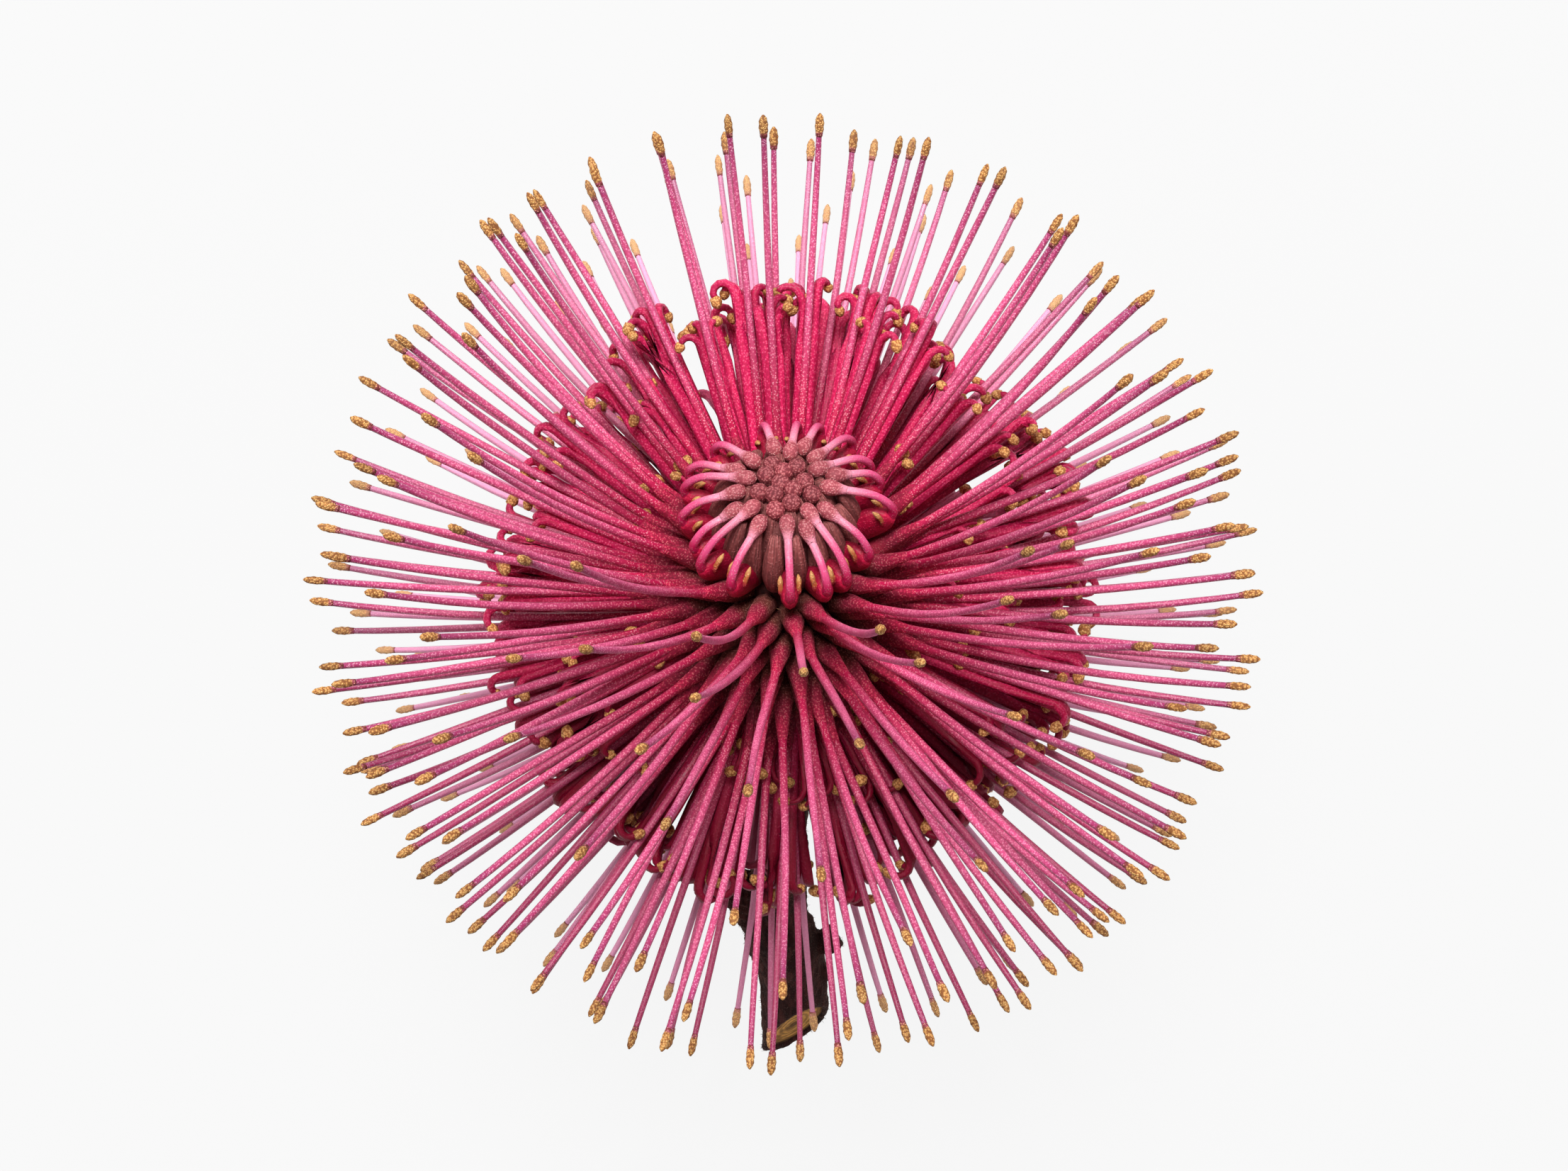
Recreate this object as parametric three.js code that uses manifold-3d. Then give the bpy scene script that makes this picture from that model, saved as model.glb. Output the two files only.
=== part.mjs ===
// A pincushion protea: one cut flower head on a short woody stem, lying on a level surface.
// Millimetres and degrees, +Z up. The head faces -Y and upwards, and the stem trails towards +Y.
import * as THREE from "three";
import { mergeVertices } from "three/addons/utils/BufferGeometryUtils.js";
import Module from "manifold-3d";

const wasm = await Module();
wasm.setup();

// The head as a whole
const HEAD_CENTRE = new THREE.Vector3(0, -3.1, 50);
const HEAD_LEAN = 35; // of the head's axis from vertical, towards -Y
const PLAN_SHIFT = new THREE.Vector3(-0.14, -0.71, 0); // centres the whole flower over its origin
const GOLDEN_ANGLE = 137.508;
const SEAM = 0.3; // gap between neighbouring grown pieces

// The receptacle that the open florets grow from
const CORE_TOP = 9.7;
const CORE_BOTTOM = -10.7;
const CORE_SIDES = 12;
const CORE_RADII = [4.6, 6.6, 7.6, 7.9, 7.6, 6.9];
const CORE_LEVELS = [CORE_BOTTOM, -9, -4.5, 1, 6.5, CORE_TOP];

// The open florets: a style with its pollen-coated tip, and a rolled-back perianth ribbon
const FLORETS = 178;
const FIRST_POLAR = 38; // polar angle of the style tips next to the buds
const LAST_POLAR = 140; // and of those next to the stem
const CROWDING = 1.6; // above 1, tips stand closer together towards the buds
const TIP_RADIUS = 55.4;
const TIP_RADIUS_SPREAD = 2;
const ROOT_FIRST = 8;
const ROOT_LAST = -9.4;
const ROOT_SUNK = 1.6;
const STYLE_BOWS = [4.4, 3]; // how far the middle of its control line stands out, away from the buds
const BOW_SETTLES = 0.3; // share of the florets over which it goes from the first to the second
const STYLE_SIDES = 3;
const POLAR_JITTER = 1.5;
const AROUND_JITTER = 3.5;
const BOW_JITTER = 1.3;
// Radius of the style at shares of its length: root, lower, middle, neck, and the widest part of its tip
const STYLE_RADII = [0.72, 0.72, 0.6, 0.42, 0.66];
const STYLE_SHARES = [0, 0.3, 0.6, 0.942, 0.972];
const TIP_REST = -0.12; // height of a tip that lies on the surface, before it is trimmed there
const TIP_SETTLES = 2.2; // tips lower than this lie on the surface

// The perianth ribbons
const RIBBON_EVERY = 2; // one on every second floret
const RIBBON_WIDTHS = [1.1, 2.2, 2.3, 1.7, 1.3, 1.1]; // at its root, below its curl, and round the curl
const RIBBON_THICKNESS = 0.85;
const RIBBON_OFFSETS = [1.2, 1.3, 1.6]; // from the style, up to where the curl starts
const CURL_START = [0.5, 0.6]; // share of the style's length, on florets that don't face up
const FACING = [0.25, 0.5]; // upward part of a floret's direction, from where its ribbon is shorter
const SHORTEST = 0.38; // share of the length that is left on those that face straight up
const CURL_RADIUS = [1.4, 2.1];
const CURL_TURN = [140, 240];
const CURL_ROLL = [-50, 50];
const TRIANGLE = 3; // sides of the ribbon's section, flat below and ridged above

// The unopened florets in the middle of the head
const DOME_CENTRE = 7.9; // of the flat dome that their tips lie on
const DOME_RADIUS = 13;
const BUDS = 12;
const HOOPS = 18;
const BUD_CELLS = 306; // buds that would cover a whole hemisphere of the dome
const FIRST_CELL = 0.2; // place of the first bud on their spiral, in buds
const BUD_SIDES = 5;
const BUD_SPAN = [-3.1, 1.2]; // of a closed bud, outwards from its place on the dome
const BUD_RADII = [0.62, 1.06, 1.04, 0.6];
const BUD_SHARES = [0, 0.5, 0.84, 0.97];
const KNOB_OUT = 2.4; // degrees over the dome, from where the buds' spiral would place it
const KNOB_SPREAD = 5.7; // and from its middle to each of its ends
const KNOB_LIFT = [0.45, 1]; // of the knob's inner and outer end, above the dome's radius
const KNOB_SHARE = 0.185; // of the floret's line
const KNOB_RADII = [0.45, 0.9, 0.84, 0.52];
const KNOB_SHARES = [0.05, 0.35, 0.62, 0.97];
const HOOP_REACH = [10.9, 12.2];
const HOOP_LEVEL = 16.3; // of the widest point of a hoop, from the head's centre
const HOOP_WAY = [0, 0.6, 0.93, 1]; // share of the way out from the knob's end to the widest point
const HOOP_FALL = [0, 0.2, 0.6, 1]; // and of the way down, at the same points
const HOOP_RETURN = new THREE.Vector2(-1.9, -2.2); // on the way back in, below its widest point
const HOOP_FOOT = new THREE.Vector2(6, -5.4); // from the axis, and below its widest point
const HOOP_RADII = [0.5, 0.53, 0.62, 0.78, 1, 1.05, 0.85];
const DOME_RIBS = 18; // the sides of the packed buds, below their tips
const DOME_RIB_DEPTH = 0.3;
const DOME_RADII = [6.2, 7.1, 7.2, 5.6];
const DOME_LEVELS = [CORE_TOP + SEAM, 12.7, 16.7, 19.3];
const DOME_TOP = 20.9;

// The stem, in the part's own frame: the flower's stalk, and the older twig that it grew from
const STALK_RADII = [3.5, 3.3, 3.2, 3.3, 3.5, 3.7];
const STALK_STRAIGHT = 14; // how far the stalk's line keeps to the head's axis
const STALK_APPROACH = new THREE.Vector3(-0.4, -13, 8); // from the knee, back along the stalk
const KNEE = new THREE.Vector3(0.9, 41, 12.3);
const TWIG_CUT = new THREE.Vector3(-1.2, 55.3, 5.8);
const TWIG_SLOPE = 22; // of its cut end, down towards the surface
const TWIG_CUT_NORMAL = new THREE.Vector3(-0.4, 0.82, 0.4);
const OLD_TIP = new THREE.Vector3(6.4, 35.2, 15.2); // where the twig's old leader was pruned
const TWIG_BEND = 0.42; // share of the way from the knee to the old tip
const TWIG_REACH = [-7, 9]; // of the twig's straight end, from the middle of its cut
const TWIG_RADII = [2.7, 3, 3.9, 4.7, 4.5, 4.4, 4.35];
const TWIG_SIDES = 12;
const STALK_SIDES = 10;
const SIDE_SHOOT = new THREE.Vector3(-2.6, 43.3, 11.6); // where a pruned side shoot leaves the twig
const SIDE_SHOOT_RADII = [1.9, 1.7, 1.75];
const SIDE_SHOOT_DIRECTION = new THREE.Vector3(-0.95, -0.1, 0.2);
const SIDE_SHOOT_LENGTH = 4.9;
const SPUR = new THREE.Vector3(-2.4, 46.8, 10);
const SPUR_RADII = [1.6, 1.1];
const SPUR_DIRECTION = new THREE.Vector3(-0.95, 0.25, 0.1);
const SPUR_LENGTH = 3.5;
const SHOOT_SIDES = 6;

// The small bracts that cup the head's underside, in the head's own frame
const BRACTS = 11;
const BRACT_FOOT = 3; // distance from the axis
const BRACT_TIP = 5.1;
const BRACT_LEVELS = [-15.6, -11.5];
const BRACT_RISE = [-0.8, 0];
const BRACT_BULGE = 0.4; // share of its height at which a bract is already as wide as the cup
const BRACT_WIDTH = 2.6;
const BRACT_RADII = [0.5, 0.5, 0.36];
const BRACT_SHARES = [0, 0.5, 0.8];
const BRACT_SIDES = 4;

const SURFACE_BLOCK = 400; // larger than the whole flower
const CUT_BLOCK = 60; // larger than the twig

const radians = THREE.MathUtils.degToRad;
const degrees = THREE.MathUtils.radToDeg;
const lerp = THREE.MathUtils.lerp;

// A draw between 0 and 1 that depends only on its two numbers.
function draw(index, salt) {
  const wave = Math.sin(index * 12.9898 + salt * 78.233) * 43758.5453;
  return wave - Math.floor(wave);
}

function drawBetween([low, high], index, salt) {
  return lerp(low, high, draw(index, salt));
}

const headToPart = new THREE.Matrix4()
  .makeRotationX(radians(HEAD_LEAN))
  .setPosition(HEAD_CENTRE);
const partToHead = headToPart.clone().invert();
const upInHead = new THREE.Vector3(0, 0, 1).transformDirection(partToHead);

function solidFrom(geometry) {
  const bare = geometry.clone();
  bare.deleteAttribute("normal");
  bare.deleteAttribute("uv");
  const merged = mergeVertices(bare, 1e-4);
  return new wasm.Manifold(
    new wasm.Mesh({
      numProp: 3,
      vertProperties: merged.attributes.position.array,
      triVerts: new Uint32Array(merged.index.array),
    }),
  );
}

function geometryFrom(solid) {
  const mesh = solid.getMesh();
  const geometry = new THREE.BufferGeometry();
  geometry.setAttribute("position", new THREE.BufferAttribute(mesh.vertProperties, 3));
  geometry.setIndex(new THREE.BufferAttribute(mesh.triVerts, 1));
  geometry.computeVertexNormals();
  return geometry;
}

// Joins solids, fills the hollows that joining seals, and drops what is loose.
function grownTogether(solids) {
  const joined = wasm.Manifold.union(solids);
  const bodies = joined.decompose();
  return bodies.reduce((best, body) => (body.volume() > best.volume() ? body : best));
}

// Bends a geometry that runs from y = 0 to y = 1 along a curve. Its x lies along `across`.
function bentAlong(geometry, curve, across) {
  const position = geometry.getAttribute("position");
  const vertex = new THREE.Vector3();
  for (let i = 0; i < position.count; i += 1) {
    vertex.fromBufferAttribute(position, i);
    const centre = curve.getPoint(vertex.y);
    const tangent = curve.getTangent(vertex.y);
    const depth = new THREE.Vector3().crossVectors(across, tangent).normalize();
    const side = new THREE.Vector3().crossVectors(tangent, depth);
    centre.addScaledVector(side, vertex.x).addScaledVector(depth, vertex.z);
    position.setXYZ(i, centre.x, centre.y, centre.z);
  }
  return geometry;
}

// A round body of revolution along y, from its end shares and its radii.
function turned(radii, shares, sides) {
  const profile = [new THREE.Vector2(0, shares[0])];
  radii.forEach((radius, k) => profile.push(new THREE.Vector2(radius, shares[k])));
  profile.push(new THREE.Vector2(0, 1));
  return new THREE.LatheGeometry(profile, sides);
}

function evenShares(radii) {
  return radii.map((_, k) => k / (radii.length - 1));
}

function coreRadius(level) {
  const last = CORE_LEVELS.length - 1;
  const k = Math.min(Math.max(CORE_LEVELS.findIndex((z) => z > level), 1), last);
  const share = (level - CORE_LEVELS[k - 1]) / (CORE_LEVELS[k] - CORE_LEVELS[k - 1]);
  return lerp(CORE_RADII[k - 1], CORE_RADII[k], share);
}

function receptacle() {
  const profile = CORE_LEVELS.map((z, k) => new THREE.Vector2(CORE_RADII[k], z));
  profile.unshift(new THREE.Vector2(0, CORE_BOTTOM));
  profile.push(new THREE.Vector2(0, CORE_TOP));
  return solidFrom(new THREE.LatheGeometry(profile, CORE_SIDES).rotateX(Math.PI / 2));
}

function headDirection(polar, around) {
  return new THREE.Vector3(
    Math.sin(radians(polar)) * Math.cos(radians(around)),
    Math.sin(radians(polar)) * Math.sin(radians(around)),
    Math.cos(radians(polar)),
  );
}

// Where a tip ends that would come below the surface, or close to it.
function settledTip(root, tip) {
  const low = tip.clone().applyMatrix4(headToPart);
  if (low.z > TIP_SETTLES) return tip;
  const from = root.clone().applyMatrix4(headToPart);
  const drop = from.z - TIP_REST;
  const reach = Math.sqrt(Math.max(from.distanceToSquared(low) - drop * drop, 0));
  const outward = new THREE.Vector2(low.x - from.x, low.y - from.y).setLength(reach);
  low.set(from.x + outward.x, from.y + outward.y, TIP_REST);
  return low.applyMatrix4(partToHead);
}

// The line of one floret's style, and the direction that its perianth rolls back to.
function floretLine(i) {
  const share = (i + 0.5) / FLORETS;
  const first = Math.cos(radians(FIRST_POLAR));
  const last = Math.cos(radians(LAST_POLAR));
  const level = lerp(first, last, share ** CROWDING);
  const polar = degrees(Math.acos(level)) + lerp(-POLAR_JITTER, POLAR_JITTER, draw(i, 1));
  const around = i * GOLDEN_ANGLE + lerp(-AROUND_JITTER, AROUND_JITTER, draw(i, 2));
  const rootLevel = lerp(ROOT_FIRST, ROOT_LAST, share);
  const rootRadius = coreRadius(rootLevel) - ROOT_SUNK;
  const root = headDirection(90, i * GOLDEN_ANGLE).multiplyScalar(rootRadius);
  root.z = rootLevel;
  const radius = TIP_RADIUS - TIP_RADIUS_SPREAD * draw(i, 3) ** 2;
  const tip = settledTip(root, headDirection(polar, around).multiplyScalar(radius));
  const along = tip.clone().sub(root).normalize();
  const across = new THREE.Vector3(0, 0, 1).cross(along).normalize();
  const outward = across.clone().cross(along);
  outward.multiplyScalar(Math.sign(-outward.z) || 1);
  const middle = root.clone().lerp(tip, 0.5);
  middle.addScaledVector(outward, lerp(...STYLE_BOWS, Math.min(share / BOW_SETTLES, 1)));
  middle.addScaledVector(across, lerp(-BOW_JITTER, BOW_JITTER, draw(i, 4)));
  return { curve: new THREE.QuadraticBezierCurve3(root, middle, tip), along, across, outward };
}

function style(line) {
  const shape = turned(STYLE_RADII, STYLE_SHARES, STYLE_SIDES);
  return solidFrom(bentAlong(shape, line.curve, line.across));
}

function perianthRibbon(line, i) {
  const facing = line.along.dot(upInHead);
  const shortened = lerp(1, SHORTEST, THREE.MathUtils.smoothstep(facing, ...FACING));
  const start = drawBetween(CURL_START, i, 5) * shortened;
  const roll = radians(drawBetween(CURL_ROLL, i, 6));
  const radius = drawBetween(CURL_RADIUS, i, 7);
  const turn = radians(drawBetween(CURL_TURN, i, 8));
  const away = line.outward.clone().multiplyScalar(Math.cos(roll));
  away.addScaledVector(line.across, Math.sin(roll));
  const points = RIBBON_OFFSETS.map((offset, k) => {
    const share = (start * k) / (RIBBON_OFFSETS.length - 1);
    return line.curve.getPoint(share).addScaledVector(line.outward, offset);
  });
  const foot = points.at(-1);
  const bend = line.curve.getTangent(start);
  const steps = RIBBON_WIDTHS.length - 1;
  const curlSteps = RIBBON_WIDTHS.length - points.length;
  for (let k = 1; k <= curlSteps; k += 1) {
    const angle = (turn * k) / curlSteps;
    const point = foot.clone().addScaledVector(bend, radius * Math.sin(angle));
    points.push(point.addScaledVector(away, radius * (1 - Math.cos(angle))));
  }
  const shape = new THREE.CylinderGeometry(1, 1, 1, TRIANGLE, steps).translate(0, 0.5, 0);
  const position = shape.getAttribute("position");
  const size = new THREE.Box3().setFromBufferAttribute(position).getSize(new THREE.Vector3());
  for (let k = 0; k < position.count; k += 1) {
    const width = RIBBON_WIDTHS[Math.round(position.getY(k) * steps)];
    position.setX(k, (position.getX(k) * width) / size.x);
    position.setZ(k, (position.getZ(k) * RIBBON_THICKNESS) / size.z);
  }
  const flat = line.along.clone().cross(away).normalize();
  return solidFrom(bentAlong(shape, new THREE.CatmullRomCurve3(points), flat));
}

// Everything above the surface that the flower lies on
function aboveSurface(solid, partMatrix) {
  const block = new THREE.BoxGeometry(SURFACE_BLOCK, SURFACE_BLOCK, SURFACE_BLOCK);
  block.translate(0, 0, SURFACE_BLOCK / 2);
  if (partMatrix) block.applyMatrix4(partMatrix);
  return solid.intersect(solidFrom(block));
}

function openFlorets() {
  const solids = [receptacle()];
  for (let i = 0; i < FLORETS; i += 1) {
    const line = floretLine(i);
    solids.push(style(line));
    if (i % RIBBON_EVERY === 0) solids.push(perianthRibbon(line, i));
  }
  return aboveSurface(grownTogether(solids), partToHead);
}

function domePoint(polar, around, radius) {
  return headDirection(polar, around).multiplyScalar(radius).add(new THREE.Vector3(0, 0, DOME_CENTRE));
}

function budPolar(k) {
  return degrees(Math.acos(1 - (k + FIRST_CELL) / BUD_CELLS));
}

function closedBud(k) {
  const around = k * GOLDEN_ANGLE;
  const [inner, outer] = BUD_SPAN.map((reach) => domePoint(budPolar(k), around, DOME_RADIUS + reach));
  const shape = turned(BUD_RADII, BUD_SHARES, BUD_SIDES);
  return solidFrom(bentAlong(shape, new THREE.LineCurve3(inner, outer), headDirection(90, around + 90)));
}

// A floret whose style has bowed out into a hoop while its tip is still held in the knob of its bud
function hoopedFloret(k) {
  const around = k * GOLDEN_ANGLE;
  const across = headDirection(90, around + 90);
  const reach = drawBetween(HOOP_REACH, k, 21);
  const at = (distance, level) => headDirection(90, around).multiplyScalar(distance).setZ(level);
  const [inner, outer] = [-KNOB_SPREAD, KNOB_SPREAD].map((turn, end) =>
    domePoint(budPolar(k) + KNOB_OUT + turn, around, DOME_RADIUS + KNOB_LIFT[end]),
  );
  const shoulder = HOOP_WAY.map((way, j) =>
    at(lerp(Math.hypot(outer.x, outer.y), reach, way), lerp(outer.z, HOOP_LEVEL, HOOP_FALL[j])),
  );
  const path = new THREE.CatmullRomCurve3([
    inner,
    ...shoulder,
    at(reach + HOOP_RETURN.x, HOOP_LEVEL + HOOP_RETURN.y),
    at(HOOP_FOOT.x, HOOP_LEVEL + HOOP_FOOT.y),
  ]);
  const knob = turned(KNOB_RADII, KNOB_SHARES, BUD_SIDES).scale(1, KNOB_SHARE, 1);
  const tube = turned(HOOP_RADII, evenShares(HOOP_RADII), STYLE_SIDES);
  tube.scale(1, 1 - KNOB_SHARE / 2, 1).translate(0, KNOB_SHARE / 2, 0);
  return [solidFrom(bentAlong(tube, path, across)), solidFrom(bentAlong(knob, path, across))];
}

// The packed sides of the buds: a rounded body whose surface is raised in one rib for each bud
function domeBody() {
  const profile = DOME_LEVELS.map((level, k) => new THREE.Vector2(DOME_RADII[k], level));
  profile.unshift(new THREE.Vector2(0, DOME_LEVELS[0]));
  profile.push(new THREE.Vector2(0, DOME_TOP));
  const shape = new THREE.LatheGeometry(profile, 2 * DOME_RIBS);
  const position = shape.getAttribute("position");
  for (let k = 0; k < position.count; k += 1) {
    const turn = Math.atan2(position.getX(k), position.getZ(k));
    const radius = Math.hypot(position.getX(k), position.getZ(k));
    const raised = radius > 0 ? 1 + (DOME_RIB_DEPTH * Math.cos(DOME_RIBS * turn)) / radius : 1;
    position.setX(k, position.getX(k) * raised);
    position.setZ(k, position.getZ(k) * raised);
  }
  return solidFrom(shape.rotateX(Math.PI / 2));
}

function budDome() {
  const solids = [domeBody()];
  for (let k = 0; k < BUDS; k += 1) solids.push(closedBud(k));
  for (let k = BUDS; k < BUDS + HOOPS; k += 1) solids.push(...hoopedFloret(k));
  return grownTogether(solids);
}

// A half space that starts at `point` and lies on the side that `normal` points to
function beyond(point, normal) {
  const up = new THREE.Vector3(0, 0, 1);
  const turn = new THREE.Quaternion().setFromUnitVectors(up, normal.clone().normalize());
  const block = new THREE.BoxGeometry(CUT_BLOCK, CUT_BLOCK, CUT_BLOCK);
  block.translate(0, 0, CUT_BLOCK / 2).applyQuaternion(turn);
  return solidFrom(block.translate(point.x, point.y, point.z));
}

function stalk() {
  const start = new THREE.Vector3(0, 0, CORE_BOTTOM - SEAM).applyMatrix4(headToPart);
  const axis = new THREE.Vector3(0, 0, -1).transformDirection(headToPart);
  const path = new THREE.CubicBezierCurve3(
    start,
    start.clone().addScaledVector(axis, STALK_STRAIGHT),
    KNEE.clone().add(STALK_APPROACH),
    KNEE,
  );
  const shape = turned(STALK_RADII, evenShares(STALK_RADII), STALK_SIDES);
  return solidFrom(bentAlong(shape, path, new THREE.Vector3(1, 0, 0)));
}

function twig() {
  const slope = radians(TWIG_SLOPE);
  const endDirection = new THREE.Vector3(0, Math.cos(slope), -Math.sin(slope));
  const straight = TWIG_REACH.map((reach) => TWIG_CUT.clone().addScaledVector(endDirection, reach));
  const bend = KNEE.clone().lerp(OLD_TIP, TWIG_BEND);
  const path = new THREE.CatmullRomCurve3([OLD_TIP, bend, KNEE, ...straight]);
  const shape = turned(TWIG_RADII, evenShares(TWIG_RADII), TWIG_SIDES);
  const solid = solidFrom(bentAlong(shape, path, new THREE.Vector3(1, 0, 0)));
  return solid.subtract(beyond(TWIG_CUT, TWIG_CUT_NORMAL));
}

// A pruned shoot on the twig, from its radii, square across its end
function prunedShoot(foot, direction, radii, length) {
  const end = foot.clone().addScaledVector(direction.clone().normalize(), length);
  const shape = turned(radii, evenShares(radii), SHOOT_SIDES);
  return solidFrom(bentAlong(shape, new THREE.LineCurve3(foot, end), new THREE.Vector3(0, 0, 1)));
}

function bract(k) {
  const around = (k * 360) / BRACTS;
  const at = (reach, level) => headDirection(90, around).multiplyScalar(reach).setZ(level);
  const [low, high] = BRACT_LEVELS;
  const rise = high + drawBetween(BRACT_RISE, k, 31);
  const path = new THREE.QuadraticBezierCurve3(
    at(BRACT_FOOT, low),
    at(BRACT_TIP, lerp(low, rise, BRACT_BULGE)),
    at(BRACT_TIP, rise),
  );
  const shape = turned(BRACT_RADII, BRACT_SHARES, BRACT_SIDES).scale(BRACT_WIDTH, 1, 1);
  bentAlong(shape, path, headDirection(90, around + 90));
  return solidFrom(shape.applyMatrix4(headToPart));
}

function stem() {
  const solids = [
    stalk(),
    twig(),
    prunedShoot(SIDE_SHOOT, SIDE_SHOOT_DIRECTION, SIDE_SHOOT_RADII, SIDE_SHOOT_LENGTH),
    prunedShoot(SPUR, SPUR_DIRECTION, SPUR_RADII, SPUR_LENGTH),
  ];
  for (let k = 0; k < BRACTS; k += 1) solids.push(bract(k));
  return aboveSurface(grownTogether(solids));
}

function grownPiece(name, solid, colour, roughness) {
  const material = new THREE.MeshStandardMaterial({ color: colour, roughness, metalness: 0 });
  const mesh = new THREE.Mesh(geometryFrom(solid), material);
  mesh.name = name;
  return mesh;
}

const head = new THREE.Group();
head.rotation.x = radians(HEAD_LEAN);
head.position.copy(HEAD_CENTRE);
head.add(grownPiece("open_florets", openFlorets(), 0xc7285f, 0.5));
head.add(grownPiece("bud_dome", budDome(), 0x9c5450, 0.7));

const flower = new THREE.Group();
flower.position.copy(PLAN_SHIFT);
flower.add(head);
flower.add(grownPiece("stem", stem(), 0x3a2a22, 0.85));

export default flower;
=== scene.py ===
"""Pincushion protea: the dressed flower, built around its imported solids.

Shapes are worked out in millimetres and become metres when a piece is finished. The head's own frame has
its axis along Z; HEAD takes it to the flower's frame, where the flower lies on the plane z = 0.
"""

import functools
import math

import bmesh
import bpy
from bpy.props import FloatProperty, FloatVectorProperty, PointerProperty
from mathutils import Matrix, Vector, noise


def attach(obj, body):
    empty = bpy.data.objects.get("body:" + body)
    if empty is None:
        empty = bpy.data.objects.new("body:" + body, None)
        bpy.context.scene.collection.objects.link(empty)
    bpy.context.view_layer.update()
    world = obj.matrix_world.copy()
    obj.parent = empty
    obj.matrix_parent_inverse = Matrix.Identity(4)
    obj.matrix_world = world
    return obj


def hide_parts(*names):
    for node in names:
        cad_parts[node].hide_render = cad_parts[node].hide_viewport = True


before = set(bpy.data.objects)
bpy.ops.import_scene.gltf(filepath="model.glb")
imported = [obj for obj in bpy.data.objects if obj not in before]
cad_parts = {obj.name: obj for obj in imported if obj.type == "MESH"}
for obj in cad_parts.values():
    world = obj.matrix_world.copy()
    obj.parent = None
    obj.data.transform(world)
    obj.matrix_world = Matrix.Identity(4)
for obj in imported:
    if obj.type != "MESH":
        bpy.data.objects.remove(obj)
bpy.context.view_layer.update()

bl_info = {
    "name": "Pincushion Protea",
    "version": (1, 0, 0),
    "blender": (4, 5, 0),
    "location": "3D View > Sidebar > Protea",
    "description": "Builds a pincushion protea flower on its short stem, with its materials and stage",
    "category": "Object",
}

MM = 0.001
UP = Vector((0, 0, 1))
LEVEL = Vector((1, 0, 0))
GOLDEN_ANGLE = 137.508

# The head and its core, as the solids have them. A table of pairs goes from a place to a radius
HEAD_CENTRE = Vector((-0.14, -3.81, 50))
HEAD_LEAN = 35
CORE = [(-10.7, 4.6), (-9, 6.6), (-4.5, 7.6), (1, 7.9), (6.5, 7.6), (9.7, 6.9)]
CORE_RISE = 0.3
CORE_RINGS = 12
CORE_SIDES = 28

# The lines of the florets, as the solids have them
FLORETS = 178
FIRST_POLAR = 38
LAST_POLAR = 140
CROWDING = 1.6
TIP_RADIUS = 55.4
TIP_RADIUS_SPREAD = 2
ROOT_FIRST = 8
ROOT_LAST = -9.4
ROOT_SUNK = 1.6
STYLE_BOWS = (4.4, 3)
BOW_SETTLES = 0.3
POLAR_JITTER = 1.5
AROUND_JITTER = 3.5
BOW_JITTER = 1.3
TIP_REST = -0.12
TIP_SETTLES = 2.2

# The further florets, each in the roomiest of a few places, with room weighed by side
EXTRAS = 134
EXTRA_TRIES = 40
EXTRA_SHARES = (0.1, 1)
EXTRA_FACING = (-0.6, 0.65)
STEM_SIDE_ROOM = 0.1
CORNER_ROOM = 0.2

# Where a floret is pale, deep with painted shade (when it faces the sky under the others, or lies on the
# stem's side away from the lamp), brown at its collar or bare of its perianth, by the way that it faces
PALE_FACING = (0.12, -0.45)
UPPER_FACING = (0.3, 0.6)
SKYWARD_SHADE = 0.4
STEM_SIDE_SHADE = (0, 0.55)
BROWN_COLLARS = (0, 0.5)
BARE_FACING = -0.15
BARE_EXTRAS = -0.6

# The styles, their tips and their collars, as (share of the line, radius)
STYLE_SIDES = 6
STYLE_PROFILE = [
    (0, 0.58), (0.1, 0.58), (0.2, 0.57), (0.3, 0.555), (0.42, 0.535), (0.54, 0.505), (0.66, 0.47),
    (0.78, 0.435), (0.89, 0.395), (0.955, 0.37), (0.972, 0.3),
]
STYLE_SWAY = 0.5
TIP_SIDES = 7
TIP_PROFILE = [
    (0.945, 0.37), (0.954, 0.4), (0.961, 0.45), (0.968, 0.47), (0.976, 0.47), (0.984, 0.44),
    (0.992, 0.35), (1, 0.1),
]
TIP_PLUMPNESS = (0.92, 1.12)
TIP_PITS = 0.07
TIP_PITTED_RINGS = range(2, 7)
COLLAR_SIDES = 8
COLLAR_STRETCH = 1.25
COLLAR_PROFILE = [
    (0, 1.15), (0.04, 1.35), (0.08, 1.38), (0.115, 1.24), (0.145, 1.0), (0.17, 0.8), (0.195, 0.64),
    (0.215, 0.5),
]

# The perianth of an open floret: three lobes joined in a band, and a free one beside them
LOBES = 4
LOBE_SIDES = 6
LOBE_STRAIGHT = 5
LOBE_CURL = 6
LOBE_TAPER = [(0, 0.55), (0.1, 0.9), (0.35, 1.04), (0.5, 0.95), (0.75, 0.84), (1, 0.7)]
LOBE_THICKNESS = 1.2
LOBE_THINS_TO = 0.7
LOBE_SPACING = 0.56
LOBE_OFFSETS = (0.95, 1.25)
FREE_LOBE_ASIDE = 1.7
BAND_WIDENS = (0.6, 1.6)
BAND_ROUNDNESS = 0.3
BAND_TWIST = 0.45
SPLIT_SHARE = 0.7
SPLIT_EASE = 1.5
SPLIT_OFFSET = 0.3
SPLIT_FAN = (0.1, 0.9)
CURL_START = (0.52, 0.6)
CURL_START_SPREAD = 0.07
CURL_RADIUS = (1.4, 2.1)
CURL_TURN = (140, 240)
CURL_ROLL = (-50, 50)
CURL_TIGHTENING = 0.3
LOBE_RADIUS_SHARE = (0.6, 1.0)
LOBE_TURN_SHARE = (0.55, 1.0)
LOBE_ROLL = 70
LOBE_ROLL_SPREAD = (-35, 35)
SIDE_REACH = 1.02
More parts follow.
